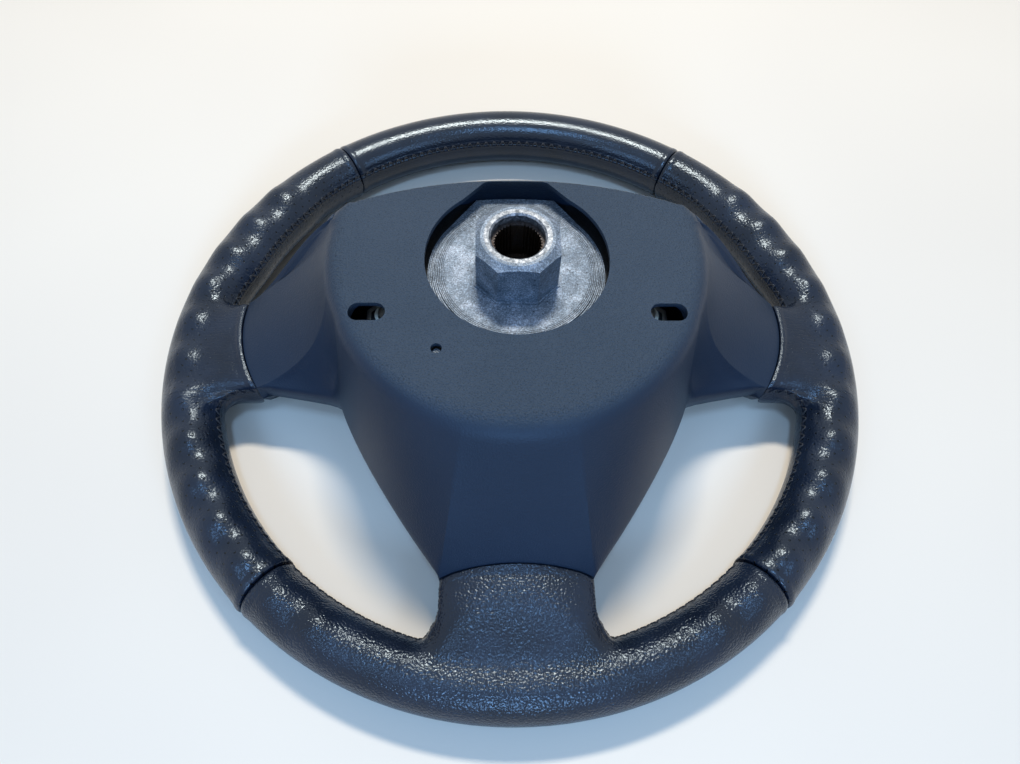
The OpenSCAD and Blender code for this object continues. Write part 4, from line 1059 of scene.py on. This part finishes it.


# Horn springs, which shorten as the pad goes in on the real wheel; here they are drawn at one length

def spring_coils():
    """Three wire coils between the tray and the hub plate, finer than the CAD solids."""
    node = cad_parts["horn_springs"].data
    pts = np.array([v.co for v in node.vertices]) / MM
    verts, faces = [], []
    for part in (pts[pts[:, 0] > 20], pts[pts[:, 0] < -20], pts[abs(pts[:, 0]) < 20]):
        low, high = part.min(0), part.max(0)
        mid, radius = (low + high) / 2, (high[0] - low[0]) / 2 - SPRING_WIRE / 2
        per_turn, sides = 36, 10
        base, steps = len(verts), per_turn * SPRING_TURNS
        for k in range(steps + 1):
            a = 2 * math.pi * k / per_turn
            z = mix(low[2] + SPRING_WIRE / 2, high[2] - SPRING_WIRE / 2, k / steps)
            for i in range(sides):
                w = 2 * math.pi * i / sides
                r = radius + SPRING_WIRE / 2 * math.cos(w)
                verts.append((mid[0] + r * math.cos(a), mid[1] + r * math.sin(a),
                              z - SPRING_WIRE / 2 * math.sin(w)))
        ring = grid_faces(steps + 1, sides)
        faces += [tuple(base + v for v in face) for face in ring]
        faces.append(tuple(base + i for i in range(sides)))
        faces.append(tuple(base + steps * sides + sides - 1 - i for i in range(sides)))
    piece = new_object("horn_spring_coils", np.array(verts) * MM, faces, WIRE, 60)
    face_outwards(piece)
    return piece, (SPRING_TOP - pts[:, 2].min()) * MM


coils, free_length = spring_coils()
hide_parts("horn_springs")
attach(coils, "wheel")
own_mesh(coils)


# Camera, fitted to the photograph: place in metres, tilt, turn and roll in radians, width of
# the image and focal length in pixels

CAMERA_AT = (-0.0119296, -0.2206595, 0.3828537 + REST_Z * MM)
CAMERA_TILT, CAMERA_TURN, CAMERA_ROLL = 1.0583943, -0.05045193, 0.04417055
IMAGE_WIDTH, FOCAL_PIXELS = 1020, 784.2227
camera_data = bpy.data.cameras.new("camera")
camera_data.sensor_fit = "HORIZONTAL"
camera_data.sensor_width = 36.0
camera_data.lens = FOCAL_PIXELS / IMAGE_WIDTH * camera_data.sensor_width
camera_data.clip_start = 0.01
camera = bpy.data.objects.new("camera", camera_data)
bpy.context.scene.collection.objects.link(camera)
tilt = Euler((math.pi / 2 - CAMERA_TILT, 0, 0)).to_matrix()
look = Matrix.Rotation(CAMERA_TURN, 3, "Z") @ tilt @ Matrix.Rotation(CAMERA_ROLL, 3, "Z")
camera.matrix_world = Matrix.Translation(CAMERA_AT) @ look.to_4x4()
bpy.context.scene.camera = camera


# Floor, world and lamps

def seen_rays(tree):
    """1 for the rays that show the background as it is: camera, glossy and transmission rays."""
    path = tree.nodes.new("ShaderNodeLightPath")
    shown = path.outputs["Is Camera Ray"]
    for kind in ("Is Glossy Ray", "Is Transmission Ray"):
        node = tree.nodes.new("ShaderNodeMath")
        node.operation = "MAXIMUM"
        tree.links.new(shown, node.inputs[0])
        tree.links.new(path.outputs[kind], node.inputs[1])
        shown = node.outputs[0]
    return shown


def background(tree, color, strength):
    node = tree.nodes.new("ShaderNodeBackground")
    node.inputs["Color"].default_value = (*color, 1)
    node.inputs["Strength"].default_value = strength
    return node.outputs[0]


floor_material = Nodes("floor", (0.76, 0.71, 0.64), 0.6)
plain = floor_material.noise(3.0, 2, 0.5)
floor_material.to_color(floor_material.ramp(plain, [(0.3, (0.72, 0.67, 0.6)), (0.7, (0.76, 0.71, 0.635))]))
ground = floor_material.add("ShaderNodeNewGeometry")
far_off = floor_material.add("ShaderNodeVectorMath", operation="LENGTH")
floor_material.link(ground.outputs["Position"], far_off.inputs[0])
fade = mapped(floor_material, far_off.outputs["Value"], FADE_START, FADE_END)
shown = seen_rays(floor_material.tree)
pale = floor_material.add("ShaderNodeEmission", Strength=BACKGROUND)
both = floor_material.add("ShaderNodeMixShader")
floor_material.link(floor_material.math("MULTIPLY", fade, shown), both.inputs[0])
floor_material.link(floor_material.bsdf.outputs[0], both.inputs[1])
floor_material.link(pale.outputs[0], both.inputs[2])
surface = floor_material.tree.nodes["Material Output"].inputs["Surface"]
floor_material.link(both.outputs[0], surface)
bpy.ops.mesh.primitive_plane_add(size=40, location=(0, 0, REST_Z * MM))
floor = bpy.context.object
floor.name = "floor"
floor.data.materials.append(floor_material.mat)

world = bpy.data.worlds.new("world")
bpy.context.scene.world = world
world.use_nodes = True
wt = world.node_tree
wt.nodes.clear()
both = wt.nodes.new("ShaderNodeMixShader")
sky_light = background(wt, (0.86, 0.93, 1.0), 0.24)
for i, value in enumerate((seen_rays(wt), sky_light, background(wt, (1, 1, 1), BACKGROUND))):
    wt.links.new(value, both.inputs[i])
wt.links.new(both.outputs[0], wt.nodes.new("ShaderNodeOutputWorld").inputs["Surface"])


def lamp(name, place, target, size, power, color, size_y=None):
    """An area lamp at a place, turned to its target; power in watts."""
    data = bpy.data.lights.new(name, "AREA")
    data.shape = "RECTANGLE"
    data.size = size
    data.size_y = size_y or size
    data.energy = power
    data.color = color
    o = bpy.data.objects.new(name, data)
    o.location = place
    o.rotation_euler = (Vector(target) - Vector(place)).to_track_quat("-Z", "Y").to_euler()
    bpy.context.scene.collection.objects.link(o)


BLUE = (0.33, 0.6, 1.0)
lamp("key", (0.02, 0.85, 1.5), (0, 0.05, -0.1), 0.4, 28, (1.0, 0.92, 0.79), 0.15)
lamp("sky", (-0.05, -0.4, 1.6), (0, -0.1, -0.1), 0.2, 8, BLUE, 0.3)
lamp("low_fill", (0.0, -1.5, 0.6), (0, -0.05, -0.1), 0.5, 12.5, BLUE, 0.2)
for side in (1, -1):
    lamp("side_fill", (side * 0.85, -0.85, 1.2), (0, -0.05, -0.1), 0.4, 4, BLUE)

scene = bpy.context.scene
scene.view_settings.view_transform = "Standard"
